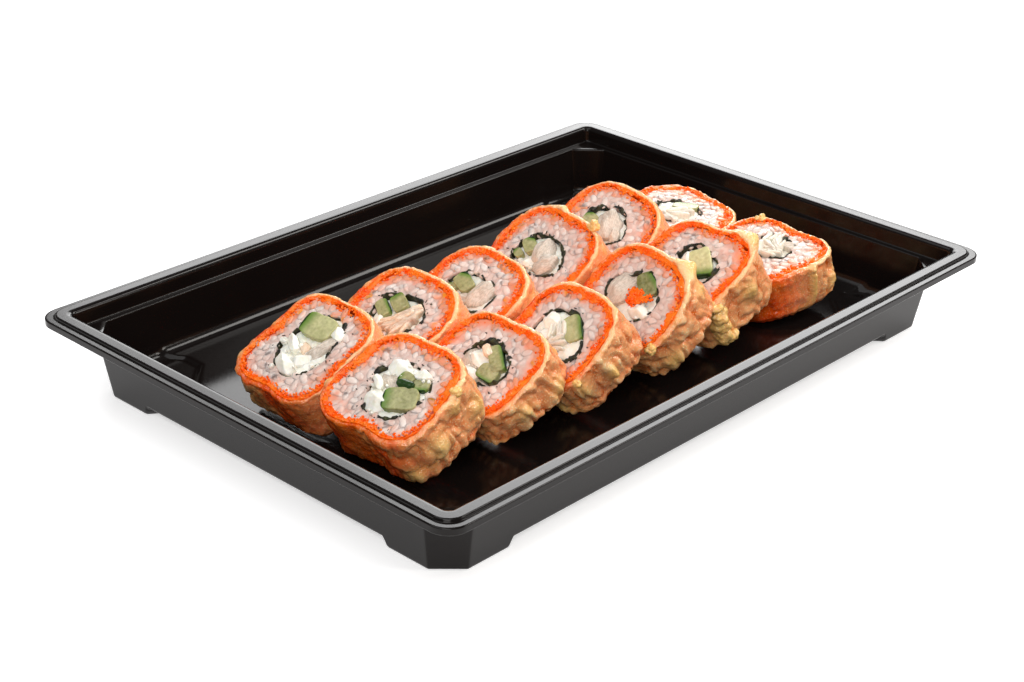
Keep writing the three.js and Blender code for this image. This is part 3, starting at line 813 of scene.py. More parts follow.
def strands(chunk, random):
    """Shreds that lie roughly along a chunk and over each other."""
    long, short = chunk.half
    turn = np.radians(chunk.turn)
    found = []
    for _ in range(SHREDS):
        away = random.uniform(-0.85, 0.85) * short
        along = random.uniform(-0.35, 0.35) * long
        v = chunk.middle[0] + along * np.cos(turn) - away * np.sin(turn)
        u = chunk.middle[1] + along * np.sin(turn) + away * np.cos(turn)
        half = (long * random.uniform(0.45, 0.8), random.uniform(0.5, 0.95))
        found.append(Chunk("shred", (v, u), half, chunk.turn + random.normal(0.0, 14.0), 2.4,
                           chunk.top + random.uniform(-0.6, 0.5), 0))
    return found


def crumbled(chunk, random):
    """Small crumbs of cheese round a lump."""
    found = []
    for _ in range(CRUMBLES):
        way = random.uniform(0.0, TURN)
        far = random.uniform(0.75, 1.15)
        v = chunk.middle[0] + far * chunk.half[0] * np.cos(way)
        u = chunk.middle[1] + far * chunk.half[1] * np.sin(way)
        size = random.uniform(0.4, 1.1)
        found.append(Chunk("cheese", (v, u), (size, 0.8 * size), random.uniform(0, 180), 2.4,
                           chunk.top - random.uniform(0.2, 0.9), 0))
    return found


def chunk_shell(cut, chunk, number):
    """One piece of filling. Two parameters: the angle round its uneven polygon or superellipse, and a
    path from its foot up its side, over an edge and in over the top. The top is a tilted plane for
    cucumber, facets for cheese and fish, and a dome for rind, shrimp and shreds, each with noise and
    some with ripples. Also returns how far each point lies towards the skin, and its place along and
    across the piece."""
    random = np.random.default_rng(CHUNK_SEED + 100 * cut.number + number)
    angle = round_angles(44)
    foot = -7.0
    long, short = chunk.half
    power = chunk.square
    edge = (np.abs(np.cos(angle)) ** power + np.abs(np.sin(angle)) ** power) ** (-1.0 / power)
    if chunk.kind == "cheese":
        edge = polygon_reach(angle, 6, 12.0, random)
    if chunk.kind in ("fish", "shrimp"):
        edge = 1.05 * polygon_reach(angle, 6, 16.0, random)
    rounding = 0.45 if chunk.kind in ("fish", "shrimp", "shred") else 0.14
    rows = blend_rows([
        (0.9, foot), (1.0, -1.4), (1.0, -rounding), (1.0 - rounding / 5.0, -0.25 * rounding),
        (1.0 - rounding / 2.0, 0.0), (0.05, 0.0),
    ], [3, 2, 2, 1, 10])
    share = rows[:, :1]
    height = rows[:, 1:]
    x = share * edge * np.cos(angle)
    y = share * edge * np.sin(angle)
    p = long * x
    q = short * y
    turn = np.radians(chunk.turn)
    v = chunk.middle[0] + p * np.cos(turn) - q * np.sin(turn)
    u = chunk.middle[1] + p * np.sin(turn) + q * np.cos(turn)
    wobble = 1.0 + 0.06 * local_noise(cut, v, u, 2.4, 81)
    v = chunk.middle[0] + (v - chunk.middle[0]) * wobble
    u = chunk.middle[1] + (u - chunk.middle[1]) * wobble
    small = local_noise(cut, v, u, 0.9, 91)
    lumps = local_noise(cut, v, u, 1.7, 92, mounds) - 0.6
    tilt = random.uniform(-0.35, 0.35, 2)
    top = {
        "cucumber": lambda: tilt[0] * x + tilt[1] * y + 0.10 * small,
        "rind": lambda: 0.8 * (1.0 - y * y) + 0.08 * small,
        "cheese": lambda: 0.35 * (long + short) * (facets(x, y, random) - 0.6) + 0.08 * small,
        "fish": lambda: (
            0.22 * (long + short) * (facets(x, y, random) - 0.6)
            + 0.12 * np.sin(2.4 * q + 2.2 * small)
            + 0.2 * lumps
        ),
        "shrimp": lambda: 0.7 * (1.0 - share ** 4) + 0.2 * np.sin(2.1 * q + 1.6 * small) + 0.25 * lumps,
        "shred": lambda: 0.5 * (1.0 - y * y) + 0.12 * small,
    }[chunk.kind]()
    lift = height + (chunk.top + top) * ease(-2.5, -0.3, height)
    skin = np.radians(chunk.skin) - turn
    toward = (p * np.cos(skin) + q * np.sin(skin)) / np.hypot(long * np.cos(skin), short * np.sin(skin))
    unit = FIBRE_PATTERN / MM
    return (
        shell(place(cut, v, u, lift)),
        spread(toward + 0.0 * share),
        spread(p / unit),
        spread(q / unit),
    )


# ---- Tray shape ----

# A bend of the profile: how far inside the mouth and below the rim it lies, its size, and the size and
# flatness of the tray's corners there.
Bend = namedtuple("Bend", "inset drop bend corner flat")

# Straight parts of the tray's sides, by which points are spaced along them, the run of the floor from
# the wall that follows the tray's outline, and how much of a foot's depth its upper face sinks.
LONG_SIDE = 220.0
SHORT_SIDE = 142.0
FLOOR_RUN = 38.0
FOOT_SHARE_INSIDE = 0.3


def rounded_profile(bends, support):
    """A profile of bends joined by straight lines. Each bend is a quadratic curve between points on
    the lines beside it, with one more point on each line to keep flats flat."""
    stops = np.array([[b.inset, b.drop, b.corner, b.flat] for b in bends], dtype=float)
    rows = [stops[:1]]
    for k in range(1, len(stops) - 1):
        here = stops[k]
        size = bends[k].bend
        share = np.linspace(0.0, 1.0, 5 if size < 1.0 else 11)[:, None]
        ends = []
        supports = []
        for other in (stops[k - 1], stops[k + 1]):
            run = np.hypot(*(other[:2] - here[:2]))
            ends.append(here + (other - here) * min(0.45, size / run))
            supports.append(here + (other - here) * min(0.49, (size + support) / run))
        rows.append(supports[0][None])
        rows.append((1 - share) ** 2 * ends[0] + 2 * share * (1 - share) * here + share ** 2 * ends[1])
        rows.append(supports[1][None])
    rows.append(stops[-1:])
    return np.concatenate(rows)


def corner_steps(size, flat):
    """Offsets of a quarter of the loop from the tray's square corner. A round corner is an arc; a flat
    one is a straight cut with a small arc at each end. The flat share blends one into the other."""
    steps = np.linspace(0.0, np.pi / 2, 13)[None, :]
    round_x = -size * (1.0 - np.cos(steps))
    round_y = -size * (1.0 - np.sin(steps))
    small = 1.0
    reach = small * np.tan(np.pi / 8)
    arc = np.linspace(0.0, np.pi / 4, 4)[None, :]
    first_x = -small + small * np.cos(arc) + 0.0 * size
    first_y = -size - reach + small * np.sin(arc)
    last_x = first_y[:, ::-1]
    last_y = first_x[:, ::-1]
    share = np.linspace(0.0, 1.0, 7)[None, 1:-1]
    line_x = first_x[:, -1:] * (1 - share) + last_x[:, :1] * share
    line_y = first_y[:, -1:] * (1 - share) + last_y[:, :1] * share
    flat_x = np.concatenate([first_x, line_x, last_x], axis=1)
    flat_y = np.concatenate([first_y, line_y, last_y], axis=1)
    return round_x * (1 - flat) + flat_x * flat, round_y * (1 - flat) + flat_y * flat


def side_shares(length):
    """Where the points of a straight side lie between its corners, as shares of its length: in close,
    even steps as far as the feet reach, and in growing ones to its middle."""
    over_foot = np.arange(0.7, 36.0, 0.9)
    beyond = [37.5, 40.0, 44.0, 50.0, 60.0]
    near = np.concatenate([over_foot, beyond])
    half = near[near < 0.48 * length] / length
    return np.concatenate([half, [0.5], 1.0 - half[::-1]])


def foot_depth(x, y, sizes, shrink):
    """How far a place on the tray's floor is let down into a corner foot: 0 outside, 1 inside, with a
    slope at the foot's edge. The foot runs along both walls, flares out from them and has a cut corner:
    the least of the distances to those edges, over the run of the slope."""
    floor = (sizes.ledge_inset + sizes.ledge_width + (sizes.depth - sizes.ledge_drop) * sizes.draft) / MM
    p = sizes.mouth_length / MM / 2 - floor - np.abs(x)
    q = sizes.mouth_width / MM / 2 - floor - np.abs(y)
    length = sizes.foot_length / MM - shrink
    far = length + sizes.foot_flare / MM
    flare_run = 1.4
    cut_share = 0.6
    along = np.minimum(length + q / flare_run - p, far - p)
    across = np.minimum(length + p / flare_run - q, far - q)
    corner = (far + cut_share * length - p - q) / np.sqrt(2.0)
    edge = np.minimum(np.minimum(along, across), corner)
    return np.clip(edge / (sizes.foot_taper / MM), 0.0, 1.0)


def tray_points(sizes):
    """The tray's sheet as one closed loft. Two parameters: the way round the tray, and a profile from
    the middle of the floor up the wall, over the rim, round the lip and back under to the middle. Each
    row of the profile is a rectangle with its own inset, height and corners. The floor then sinks into
    the corner feet, and less so on its upper face."""
    mm = {key: getattr(sizes, key) / MM for key in (
        "rim_height", "rim_width", "lip_reach", "lip_drop", "lip_depth", "lip_slope", "sheet", "ledge_drop",
        "ledge_width", "ledge_inset", "depth", "cove", "lip_radius", "rim_radius", "mouth_radius",
        "corner_cut_top", "corner_cut_bottom", "cut_inside", "mouth_length", "mouth_width",
    )}
    draft = sizes.draft
    sheet = mm["sheet"]
    ledge = mm["ledge_inset"] + mm["ledge_width"]
    corner = ledge + (mm["depth"] - mm["ledge_drop"]) * draft
    top_in = mm["corner_cut_top"] - mm["cut_inside"]
    low_in = mm["corner_cut_bottom"] - mm["cut_inside"]
    far = corner + FLOOR_RUN
    mouth = mm["mouth_radius"]
    bends = [
        Bend(far, mm["depth"], 0, low_in, 1),
        Bend(corner, mm["depth"], mm["cove"], low_in, 1),
        Bend(ledge, mm["ledge_drop"] + 0.1, 0.45, top_in, 1),
        Bend(mm["ledge_inset"], mm["ledge_drop"], 0.5, mouth, 0),
        Bend(0.0, 0.0, 1.7, mouth, 0),
        Bend(-mm["rim_width"], 0.0, 0.35, mm["rim_radius"], 0),
        Bend(-mm["rim_width"] - 0.3, mm["lip_drop"], 0.2, mm["rim_radius"], 0),
        Bend(-mm["lip_reach"] + mm["lip_slope"], mm["lip_drop"], 0.15, mm["lip_radius"], 0),
        Bend(-mm["lip_reach"], mm["lip_drop"] + 0.65 * mm["lip_slope"], 0.25, mm["lip_radius"], 0),
        Bend(-mm["lip_reach"], mm["lip_drop"] + mm["lip_depth"], 0.3, mm["lip_radius"], 0),
        Bend(sheet - mm["rim_width"] - 0.3, mm["lip_drop"] + sheet + 0.1, 0.3, mm["rim_radius"] - sheet, 0),
        Bend(sheet - mm["rim_width"], sheet, 0.4, mm["rim_radius"] - sheet, 0),
        Bend(-sheet, sheet, 0.4, mouth, 0),
        Bend(mm["ledge_inset"] - sheet + 0.1, mm["ledge_drop"] + sheet - 0.1, 0.3, mouth, 0),
        Bend(ledge - sheet, mm["ledge_drop"] + sheet, 0.4, mm["corner_cut_top"], 1),
        Bend(corner - sheet, mm["depth"] + sheet, 1.2, mm["corner_cut_bottom"], 1),
        Bend(far, mm["depth"] + sheet, 0, mm["corner_cut_bottom"], 1),
    ]
    rows = rounded_profile(bends, 0.2)
    upper = rows[1] * 0.12 + rows[0] * 0.88
    under = rows[-2] * 0.12 + rows[-1] * 0.88
    rows = np.concatenate([
        blend_rows([rows[0], upper, rows[1]], [8, 44]),
        rows[2:-2],
        blend_rows([rows[-2], under, rows[-1]], [44, 8]),
    ])
    inset, drop, size, flat = (rows[:, k:k + 1] for k in range(4))
    step_x, step_y = corner_steps(size, flat)
    half_x = mm["mouth_length"] / 2 - inset
    half_y = mm["mouth_width"] / 2 - inset
    quarters = [
        (half_x + step_x, half_y + step_y),
        (-(half_x + step_x)[:, ::-1], (half_y + step_y)[:, ::-1]),
        (-(half_x + step_x), -(half_y + step_y)),
        ((half_x + step_x)[:, ::-1], -(half_y + step_y)[:, ::-1]),
    ]
    columns_x = []
    columns_y = []
    for k, (x, y) in enumerate(quarters):
        next_x, next_y = quarters[(k + 1) % 4]
        share = side_shares(LONG_SIDE if k % 2 == 0 else SHORT_SIDE)[None, :]
        columns_x += [x, x[:, -1:] * (1 - share) + next_x[:, :1] * share]
        columns_y += [y, y[:, -1:] * (1 - share) + next_y[:, :1] * share]
    x = np.concatenate(columns_x, axis=1)
    y = np.concatenate(columns_y, axis=1)
    middle = len(rows) // 2
    is_inside = (np.arange(len(rows)) < middle)[:, None]
    cove_top = mm["depth"] - 1.1 * mm["cove"]
    dip_in = FOOT_SHARE_INSIDE * foot_depth(x, y, sizes, sheet)
    dip_under = foot_depth(x, y, sizes, 0.0)
    dip = np.where(is_inside, dip_in, dip_under) * ease(cove_top, cove_top + 0.1, drop)
    fall = mm["rim_height"] - mm["depth"] - sheet
    pull = dip * fall * draft * ease(far, corner, inset)
    z = mm["rim_height"] - drop - dip * fall
    x = x - np.sign(x) * pull
    y = y - np.sign(y) * pull
    return np.stack([x, y, z], axis=-1) * MM


# ---- Materials ----

def add_node(tree, kind, settings=None, **inputs):
    """A node with its settings and the values or links of its inputs."""
    node = tree.nodes.new(kind)
    for key, value in (settings or {}).items():
        setattr(node, key, value)
    for key, value in inputs.items():
        socket = node.inputs[key.replace("_", " ")]
        if isinstance(value, bpy.types.NodeSocket):
            tree.links.new(value, socket)
        else:
            socket.default_value = value
    return node


def new_group(name, inputs, outputs):
    """An empty shader group with named sockets."""
    tree = bpy.data.node_groups.new(name, "ShaderNodeTree")
    for label, kind, default in inputs:
        socket = tree.interface.new_socket(name=label, in_out="INPUT", socket_type=kind)
        socket.default_value = default
    for label, kind in outputs:
        tree.interface.new_socket(name=label, in_out="OUTPUT", socket_type=kind)
    return tree, tree.nodes.new("NodeGroupInput"), tree.nodes.new("NodeGroupOutput")


def object_place(tree):
    """The place on the piece."""
    return tree.nodes.new("ShaderNodeTexCoord").outputs["Object"]


def mottle_group():
    """Soft patches: a noise at a stated scale, stretched so that Low to High becomes 0 to 1."""
    tree, given, out = new_group(
        "mottle",
        [("Scale", "NodeSocketFloat", 200.0), ("Detail", "NodeSocketFloat", 3.0),
         ("Low", "NodeSocketFloat", 0.35), ("High", "NodeSocketFloat", 0.65)],
        [("Mask", "NodeSocketFloat")],
    )
    noise = add_node(tree, "ShaderNodeTexNoise", Vector=object_place(tree),
                     Scale=given.outputs["Scale"], Detail=given.outputs["Detail"])
    reach = add_node(tree, "ShaderNodeMapRange", Value=noise.outputs["Fac"],
                     From_Min=given.outputs["Low"], From_Max=given.outputs["High"])
    tree.links.new(reach.outputs["Result"], out.inputs["Mask"])
    return tree


def relief_group():
    """Fine relief: a noise with finer noises in it, as the height of a bump."""
    tree, given, out = new_group(
        "fine_relief",
        [("Scale", "NodeSocketFloat", 800.0), ("Depth", "NodeSocketFloat", 0.0001),
         ("Strength", "NodeSocketFloat", 0.5)],
        [("Normal", "NodeSocketVector")],
    )
    noise = add_node(tree, "ShaderNodeTexNoise", Vector=object_place(tree),
                     Scale=given.outputs["Scale"], Detail=4.0, Roughness=0.6)
    bump = add_node(tree, "ShaderNodeBump", Height=noise.outputs["Fac"],
                    Strength=given.outputs["Strength"], Distance=given.outputs["Depth"])
    tree.links.new(bump.outputs["Normal"], out.inputs["Normal"])
    return tree


def use_group(tree, name, **inputs):
    """A shared group placed in a material."""
    makers = {"mottle": mottle_group, "fine_relief": relief_group}
    group = bpy.data.node_groups.get(name) or makers[name]()
    node = tree.nodes.new("ShaderNodeGroup")
    node.node_tree = group
    for key, value in inputs.items():
        node.inputs[key].default_value = value
    return node.outputs[0]


def mix(tree, share, first, second):
    """A colour between two colours."""
    node = tree.nodes.new("ShaderNodeMix")
    node.data_type = "RGBA"
    for index, value in ((0, share), (6, first), (7, second)):
        if isinstance(value, bpy.types.NodeSocket):
            tree.links.new(value, node.inputs[index])
        elif index == 0:
            node.inputs[index].default_value = value
        else:
            node.inputs[index].default_value = (*value[:3], 1.0)
    return node.outputs[2]


def sums(tree, kind, first, second):
    """Arithmetic on masks."""
    node = tree.nodes.new("ShaderNodeMath")
    node.operation = kind
    for index, value in ((0, first), (1, second)):
        if isinstance(value, bpy.types.NodeSocket):
            tree.links.new(value, node.inputs[index])
        else:
            node.inputs[index].default_value = value
    return node.outputs[0]


def plus(tree, first, second):
    """One mask added to another."""
    return sums(tree, "ADD", first, second)


def times(tree, first, second):
    """One mask times another."""
    return sums(tree, "MULTIPLY", first, second)


def stirred(tree, value, patches, amount):
    """A mask made uneven: the amount times patches less a half is added to it."""
    return plus(tree, value, times(tree, sums(tree, "SUBTRACT", patches, 0.5), amount))


def stretch(tree, value, low, high, first=0.0, second=1.0):
    """A smooth climb of a mask between two limits, from a first value to a second."""
    node = add_node(tree, "ShaderNodeMapRange", {"interpolation_type": "SMOOTHSTEP"}, Value=value,
                    From_Min=low, From_Max=high, To_Min=first, To_Max=second)
    return node.outputs["Result"]


def stored(tree, name):
    """A number stored on the mesh."""
    node = tree.nodes.new("ShaderNodeAttribute")
    node.attribute_name = name
    return node.outputs["Fac"]


def new_material(name, **shader_values):
    """A material with a Principled shader and its constants."""
    material = bpy.data.materials.new(name)
    material.use_nodes = True
    tree = material.node_tree
    tree.nodes.clear()
    shader = tree.nodes.new("ShaderNodeBsdfPrincipled")
    out = tree.nodes.new("ShaderNodeOutputMaterial")
    tree.links.new(shader.outputs["BSDF"], out.inputs["Surface"])
    for key, value in shader_values.items():
        shader.inputs[key.replace("_", " ")].default_value = value
    return material, tree, shader


def flesh(name, weight, scale, radius, **values):
    """A moist food material: a Principled shader with light scattered under its skin."""
    material, tree, shader = new_material(name, **values)
    shader.inputs["Subsurface Weight"].default_value = weight
    shader.inputs["Subsurface Scale"].default_value = scale
    shader.inputs["Subsurface Radius"].default_value = radius
    return material, tree, shader


def connect(tree, shader, **links):
    """Links into the shader."""
    for key, value in links.items():
        tree.links.new(value, shader.inputs[key.replace("_", " ")])


def tray_material():
    """Near-black sheet plastic with a soft gloss, faint flow marks and a slightly uneven surface."""
    looks = bpy.context.scene.tray_looks
    material, tree, shader = new_material("black_sheet_plastic", Specular_IOR_Level=0.2, IOR=1.5)
    patches = use_group(tree, "mottle", Scale=18.0, Detail=2.0, Low=0.3, High=0.7)
    specks = use_group(tree, "mottle", Scale=900.0, Detail=2.0, Low=0.55, High=0.8)
    colour = mix(tree, patches, looks.colour, [1.35 * value for value in looks.colour[:3]])
    rough = plus(tree, plus(tree, times(tree, patches, 0.04), looks.roughness), times(tree, specks, 0.03))
    normal = use_group(tree, "fine_relief", Scale=90.0, Depth=0.00003, Strength=0.15)
    connect(tree, shader, Base_Color=colour, Roughness=rough, Normal=normal)
    return material


def crust_material():
    """Fried batter: orange and sleek where it lies thin over the roe, pale gold on its crags with
    pink-orange creases between them, peach at the cut, stained orange on its inside and frothed with tiny
    bubbles all
    over. Painted light: the creases are partly painted shade, the crag tips partly painted highlight, the
    upper side is painted paler partly as light from above, the peach of the cut there is partly a painted
    highlight, and pale dots at the bubbles are painted glints."""
    looks = bpy.context.scene.crust_looks
    material, tree, shader = flesh(
        "fried_batter", 0.35, 0.0014, (1.0, 0.65, 0.4), IOR=1.45, Specular_IOR_Level=0.8)
    rough = stored(tree, "rough")
    rise = stored(tree, "rise")
    edge = stored(tree, "edge")
    inward = stored(tree, "inward")
    veil = stored(tree, "veil")
    patches = use_group(tree, "mottle", Scale=120.0, Detail=3.0, Low=0.38, High=0.62)
    blots = use_group(tree, "mottle", Scale=260.0, Detail=3.0, Low=0.4, High=0.62)
    grain = use_group(tree, "mottle", Scale=1100.0, Detail=2.0, Low=0.35, High=0.65)
    salmon = mix(tree, blots, looks.salmon, looks.gold)
    glaze = mix(tree, patches, looks.orange, looks.amber)
    # Towards the upper side the glaze turns salmon and the flanks pink: partly a paler coat of batter,
    # partly painted light from above.
    glaze = mix(tree, veil, glaze, salmon)
    # Raised parts of the glaze are painted more gold, partly as painted highlight.
    glaze = mix(tree, times(tree, stretch(tree, rise, 0.45, 0.8), 0.25), glaze, looks.gold)
    crease_and_shade = mix(tree, blots, looks.crease_and_shade, looks.blush)
    flank = mix(tree, times(tree, veil, 0.75), looks.gold, looks.blush)
    bubbles = add_node(tree, "ShaderNodeTexVoronoi", Vector=object_place(tree), Scale=1250.0)
    froth = stretch(tree, bubbles.outputs["Distance"], 0.1, 0.5, 1.0, 0.0)
    # From the crease colour, partly painted shade, by crag height to the pale tips, partly painted
    # highlight.
    tone = plus(tree, times(tree, rise, 0.8), times(tree, froth, 0.2))
    crags = mix(tree, stretch(tree, tone, 0.1, 0.45), crease_and_shade, flank)
    crags = mix(tree, stretch(tree, tone, 0.4, 0.85), crags, looks.pale)
    cover = stirred(tree, rough, patches, 0.55)
    body = mix(tree, stretch(tree, cover, 0.2, 0.72), glaze, crags)
    # Pale dots at the bubbles, more on the upper side, are painted glints.
    painted_glint_share = plus(tree, times(tree, veil, 0.28), 0.14)
    body = mix(tree, times(tree, froth, painted_glint_share), body, looks.pale)
    body = mix(tree, stored(tree, "crisp"), body, looks.crisp)
    torn = plus(tree, times(tree, grain, 0.25), times(tree, patches, 0.35))
    fade = times(tree, edge, plus(tree, torn, 0.5))
    # The cut's rim is gold below and peach on the upper side: partly the cut batter's colour, partly a
    # painted highlight from above.
    rim = mix(tree, veil, looks.gold, looks.peach_and_highlight)
    body = mix(tree, stretch(tree, fade, 0.25, 0.8), body, rim)
    # The inside is stained a little less on the upper side, which paints that side lighter, as painted
    # light.
    stain = sums(tree, "SUBTRACT", stirred(tree, inward, blots, 0.6), times(tree, veil, 0.15))
    colour = mix(tree, stretch(tree, stain, 0.5, 1.0, 0.0, 0.95), body, looks.stain)
    gloss = stretch(tree, cover, 0.1, 0.8, 0.12, 0.2)
    height = plus(tree, times(tree, froth, 0.6), times(tree, grain, 0.5))
    bump = add_node(tree, "ShaderNodeBump", Height=height, Strength=0.55, Distance=0.0003)
    connect(tree, shader, Base_Color=colour, Roughness=gloss, Normal=bump.outputs["Normal"])
    return material


def roe_material(name):
    """Wet orange roe: packed eggs as small cells, some redder and some yellower, glossy."""
    looks = bpy.context.scene.food_looks
    material, tree, shader = new_material(name, IOR=1.4, Roughness=0.22, Specular_IOR_Level=0.45)
    eggs = add_node(tree, "ShaderNodeTexVoronoi", Vector=object_place(tree), Scale=1500.0)
    tint = add_node(tree, "ShaderNodeSeparateColor", Color=eggs.outputs["Color"])
    patches = use_group(tree, "mottle", Scale=240.0, Detail=2.0, Low=0.35, High=0.65)
    colour = mix(tree, tint.outputs["Red"], looks.roe_deep, looks.roe)
    colour = mix(tree, times(tree, patches, 0.55), colour, looks.roe_light)
    bump = add_node(tree, "ShaderNodeBump", {"invert": True}, Height=eggs.outputs["Distance"],
                    Strength=0.35, Distance=0.0002)
    connect(tree, shader, Base_Color=colour, Normal=bump.outputs["Normal"])
    return material


def rice_material(name):
    """Cooked rice: half-clear, moist grains of slightly different whiteness, pink with blots of orange
    near the roe and greyer near the seaweed."""
    looks = bpy.context.scene.food_looks
    material, tree, shader = flesh(name, 0.7, 0.0018, (0.9, 0.85, 0.8), IOR=1.4, Specular_IOR_Level=0.45)
    near_roe = stored(tree, "near_roe")
    near_core = stored(tree, "near_core")
    patches = use_group(tree, "mottle", Scale=200.0, Detail=2.0, Low=0.35, High=0.65)
    grains = use_group(tree, "mottle", Scale=420.0, Detail=1.0, Low=0.38, High=0.62)
    milky = plus(tree, times(tree, grains, 0.35), times(tree, stored(tree, "opaque"), 0.65))
    white = mix(tree, milky, looks.rice_clear, looks.rice)
    stained = stirred(tree, near_roe, patches, 0.6)
    pink = mix(tree, stretch(tree, stained, 0.0, 0.8), white, looks.rice_pink)
    grey = stirred(tree, near_core, patches, 0.6)
    colour = mix(tree, stretch(tree, grey, 0.45, 1.2, 0.0, 0.6), pink, looks.rice_grey)
    blot = use_group(tree, "mottle", Scale=420.0, Detail=2.0, Low=0.54, High=0.66)
    near = stretch(tree, stained, 0.45, 1.0)
    colour = mix(tree, times(tree, blot, near), colour, looks.roe_light)
    gloss = stretch(tree, grains, 0.0, 1.0, 0.16, 0.32)
    normal = use_group(tree, "fine_relief", Scale=520.0, Depth=0.0003, Strength=0.4)
    connect(tree, shader, Base_Color=colour, Roughness=gloss, Normal=normal)
    return material


def seaweed_material():
    """Damp seaweed: green-black, crinkled and faintly glossy."""
    looks = bpy.context.scene.food_looks
    material, tree, shader = new_material("seaweed", IOR=1.4)
    patches = use_group(tree, "mottle", Scale=420.0, Detail=3.0, Low=0.4, High=0.68)
    colour = mix(tree, patches, looks.seaweed, looks.seaweed_green)
    gloss = stretch(tree, patches, 0.0, 1.0, 0.3, 0.5)
    normal = use_group(tree, "fine_relief", Scale=1300.0, Depth=0.0004, Strength=0.7)
    connect(tree, shader, Base_Color=colour, Roughness=gloss, Normal=normal)
    return material


def cucumber_material():
    """Cut cucumber: pale watery flesh, greener towards a dark skin."""
    looks = bpy.context.scene.food_looks
    material, tree, shader = flesh("cucumber", 0.2, 0.002, (0.7, 1.0, 0.4), IOR=1.36, Roughness=0.2)
    toward = stored(tree, "toward")
    patches = use_group(tree, "mottle", Scale=260.0, Detail=3.0, Low=0.3, High=0.7)
    streaks = use_group(tree, "mottle", Scale=900.0, Detail=2.0, Low=0.35, High=0.65)
    share = plus(tree, times(tree, patches, 0.22), times(tree, streaks, 0.2))
    share = plus(tree, share, times(tree, stored(tree, "tone"), 0.7))
    pulp = mix(tree, share, looks.cucumber, looks.cucumber_light)
    green = mix(tree, stretch(tree, toward, 0.2, 0.95), pulp, looks.cucumber_green)
    colour = mix(tree, stretch(tree, toward, 0.83, 0.93), green, looks.cucumber_skin)
    normal = use_group(tree, "fine_relief", Scale=500.0, Depth=0.0002, Strength=0.35)
    connect(tree, shader, Base_Color=colour, Normal=normal)
    return material


def soft_material(name, light, deep, weight, gloss, fibres):
    """Cheese, fish, shrimp or crab: two close colours in patches or fibres, with a moist skin."""
    material, tree, shader = flesh(name, weight, 0.0022, (1.0, 0.8, 0.65), IOR=1.4, Roughness=gloss)
    drawn_out = add_node(tree, "ShaderNodeCombineXYZ", X=stored(tree, "long"),
                         Y=times(tree, stored(tree, "short"), fibres))
    noise = add_node(tree, "ShaderNodeTexNoise", Vector=drawn_out.outputs[0], Scale=3.0, Detail=3.0)
    patches = use_group(tree, "mottle", Scale=240.0, Detail=2.0, Low=0.35, High=0.65)
    share = times(tree, stretch(tree, noise.outputs["Fac"], 0.4, 0.62), 0.6)
    share = plus(tree, share, times(tree, patches, 0.4))
    colour = mix(tree, share, light, deep)
    normal = use_group(tree, "fine_relief", Scale=420.0, Depth=0.0005, Strength=0.6)
    connect(tree, shader, Base_Color=colour, Normal=normal)
    return material


def stage_material():
    """The pale, matt floor, which glows faintly."""
    looks = bpy.context.scene.stage_looks
    material, tree, shader = new_material("pale_floor", Roughness=0.9, Specular_IOR_Level=0.1,
                                          Emission_Color=(*WHITE, 1.0), Emission_Strength=FLOOR_GLOW)
    shade = use_group(tree, "mottle", Scale=6.0, Detail=2.0, Low=0.3, High=0.7)
    colour = mix(tree, shade, looks.floor, [0.985 * value for value in looks.floor[:3]])
    connect(tree, shader, Base_Color=colour)
    return material


# ---- Values a user would change ----

def length(name, description, default_mm):
    """A length in metres."""
    return FloatProperty(name=name, description=description, default=default_mm * MM, min=0.0,
                         unit="LENGTH", subtype="DISTANCE", precision=5)


def linear(value):
    """Share of light from an 8-bit screen value, by the usual screen curve."""
    share = value / 255.0
    if share <= 0.04045:
        return share / 12.92
    return ((share + 0.055) / 1.055) ** 2.4


def power(name, description, watts):
    """Power of a light."""
    return FloatProperty(name=name, description=description, default=watts, min=0.0, unit="POWER")


def colour(name, description, red, green, blue):
    """A colour given as 8-bit screen values."""
    return FloatVectorProperty(name=name, description=description, subtype="COLOR", size=3,
                               min=0.0, max=1.0, default=(linear(red), linear(green), linear(blue)))


class TraySizes(bpy.types.PropertyGroup):
    """Sizes of the tray's sheet."""

    mouth_length: length("Mouth length", "Inside the flat rim, along the tray", 253.4)
    mouth_width: length("Mouth width", "Inside the flat rim, across the tray", 174.0)
    rim_height: length("Rim height", "Flat rim above the table", 28.0)
    rim_width: length("Rim width", "Width of the flat rim", 4.9)
    lip_reach: length("Lip reach", "From the mouth to the edge of the lip", 7.8)
    lip_drop: length("Lip drop", "Lip below the flat rim", 0.95)
    lip_depth: length("Lip depth", "Height of the lip's edge", 2.4)
    lip_slope: length("Lip slope", "Width of the lip's sloping edge", 0.3)
    sheet: length("Sheet", "Wall thickness", 0.9)
    ledge_drop: length("Ledge drop", "Lid ledge below the rim", 5.8)
    ledge_width: length("Ledge width", "Width of the lid ledge", 2.1)
    ledge_inset: length("Ledge inset", "Draft of the wall above the ledge", 0.8)
    depth: length("Depth", "Floor below the rim", 23.8)
    cove: length("Cove", "Size of the bend between wall and floor", 4.2)
    lip_radius: length("Lip radius", "Corner radius of the lip", 7.4)
    rim_radius: length("Rim radius", "Corner radius of the rim", 6.0)
    mouth_radius: length("Mouth radius", "Corner radius of the mouth", 2.2)
    corner_cut_top: length("Corner cut, top", "Flat cut of each upright corner at the ledge", 10.0)
    corner_cut_bottom: length("Corner cut, bottom", "Flat cut of each upright corner at the floor", 8.0)
    cut_inside: length("Cut inside", "How much smaller the cut is inside", 0.8)
    foot_length: length("Foot length", "Along each wall from the corner", 26.4)
    foot_flare: length("Foot flare", "How far a foot widens away from the wall", 5.0)
    foot_taper: length("Foot taper", "Run of the slope at a foot's end", 1.8)
    gap: length("Gap", "Between a slice and the floor", 0.35)
    draft: FloatProperty(name="Draft", description="Inward run of the wall for each unit down",
                         default=0.166, min=0.0)


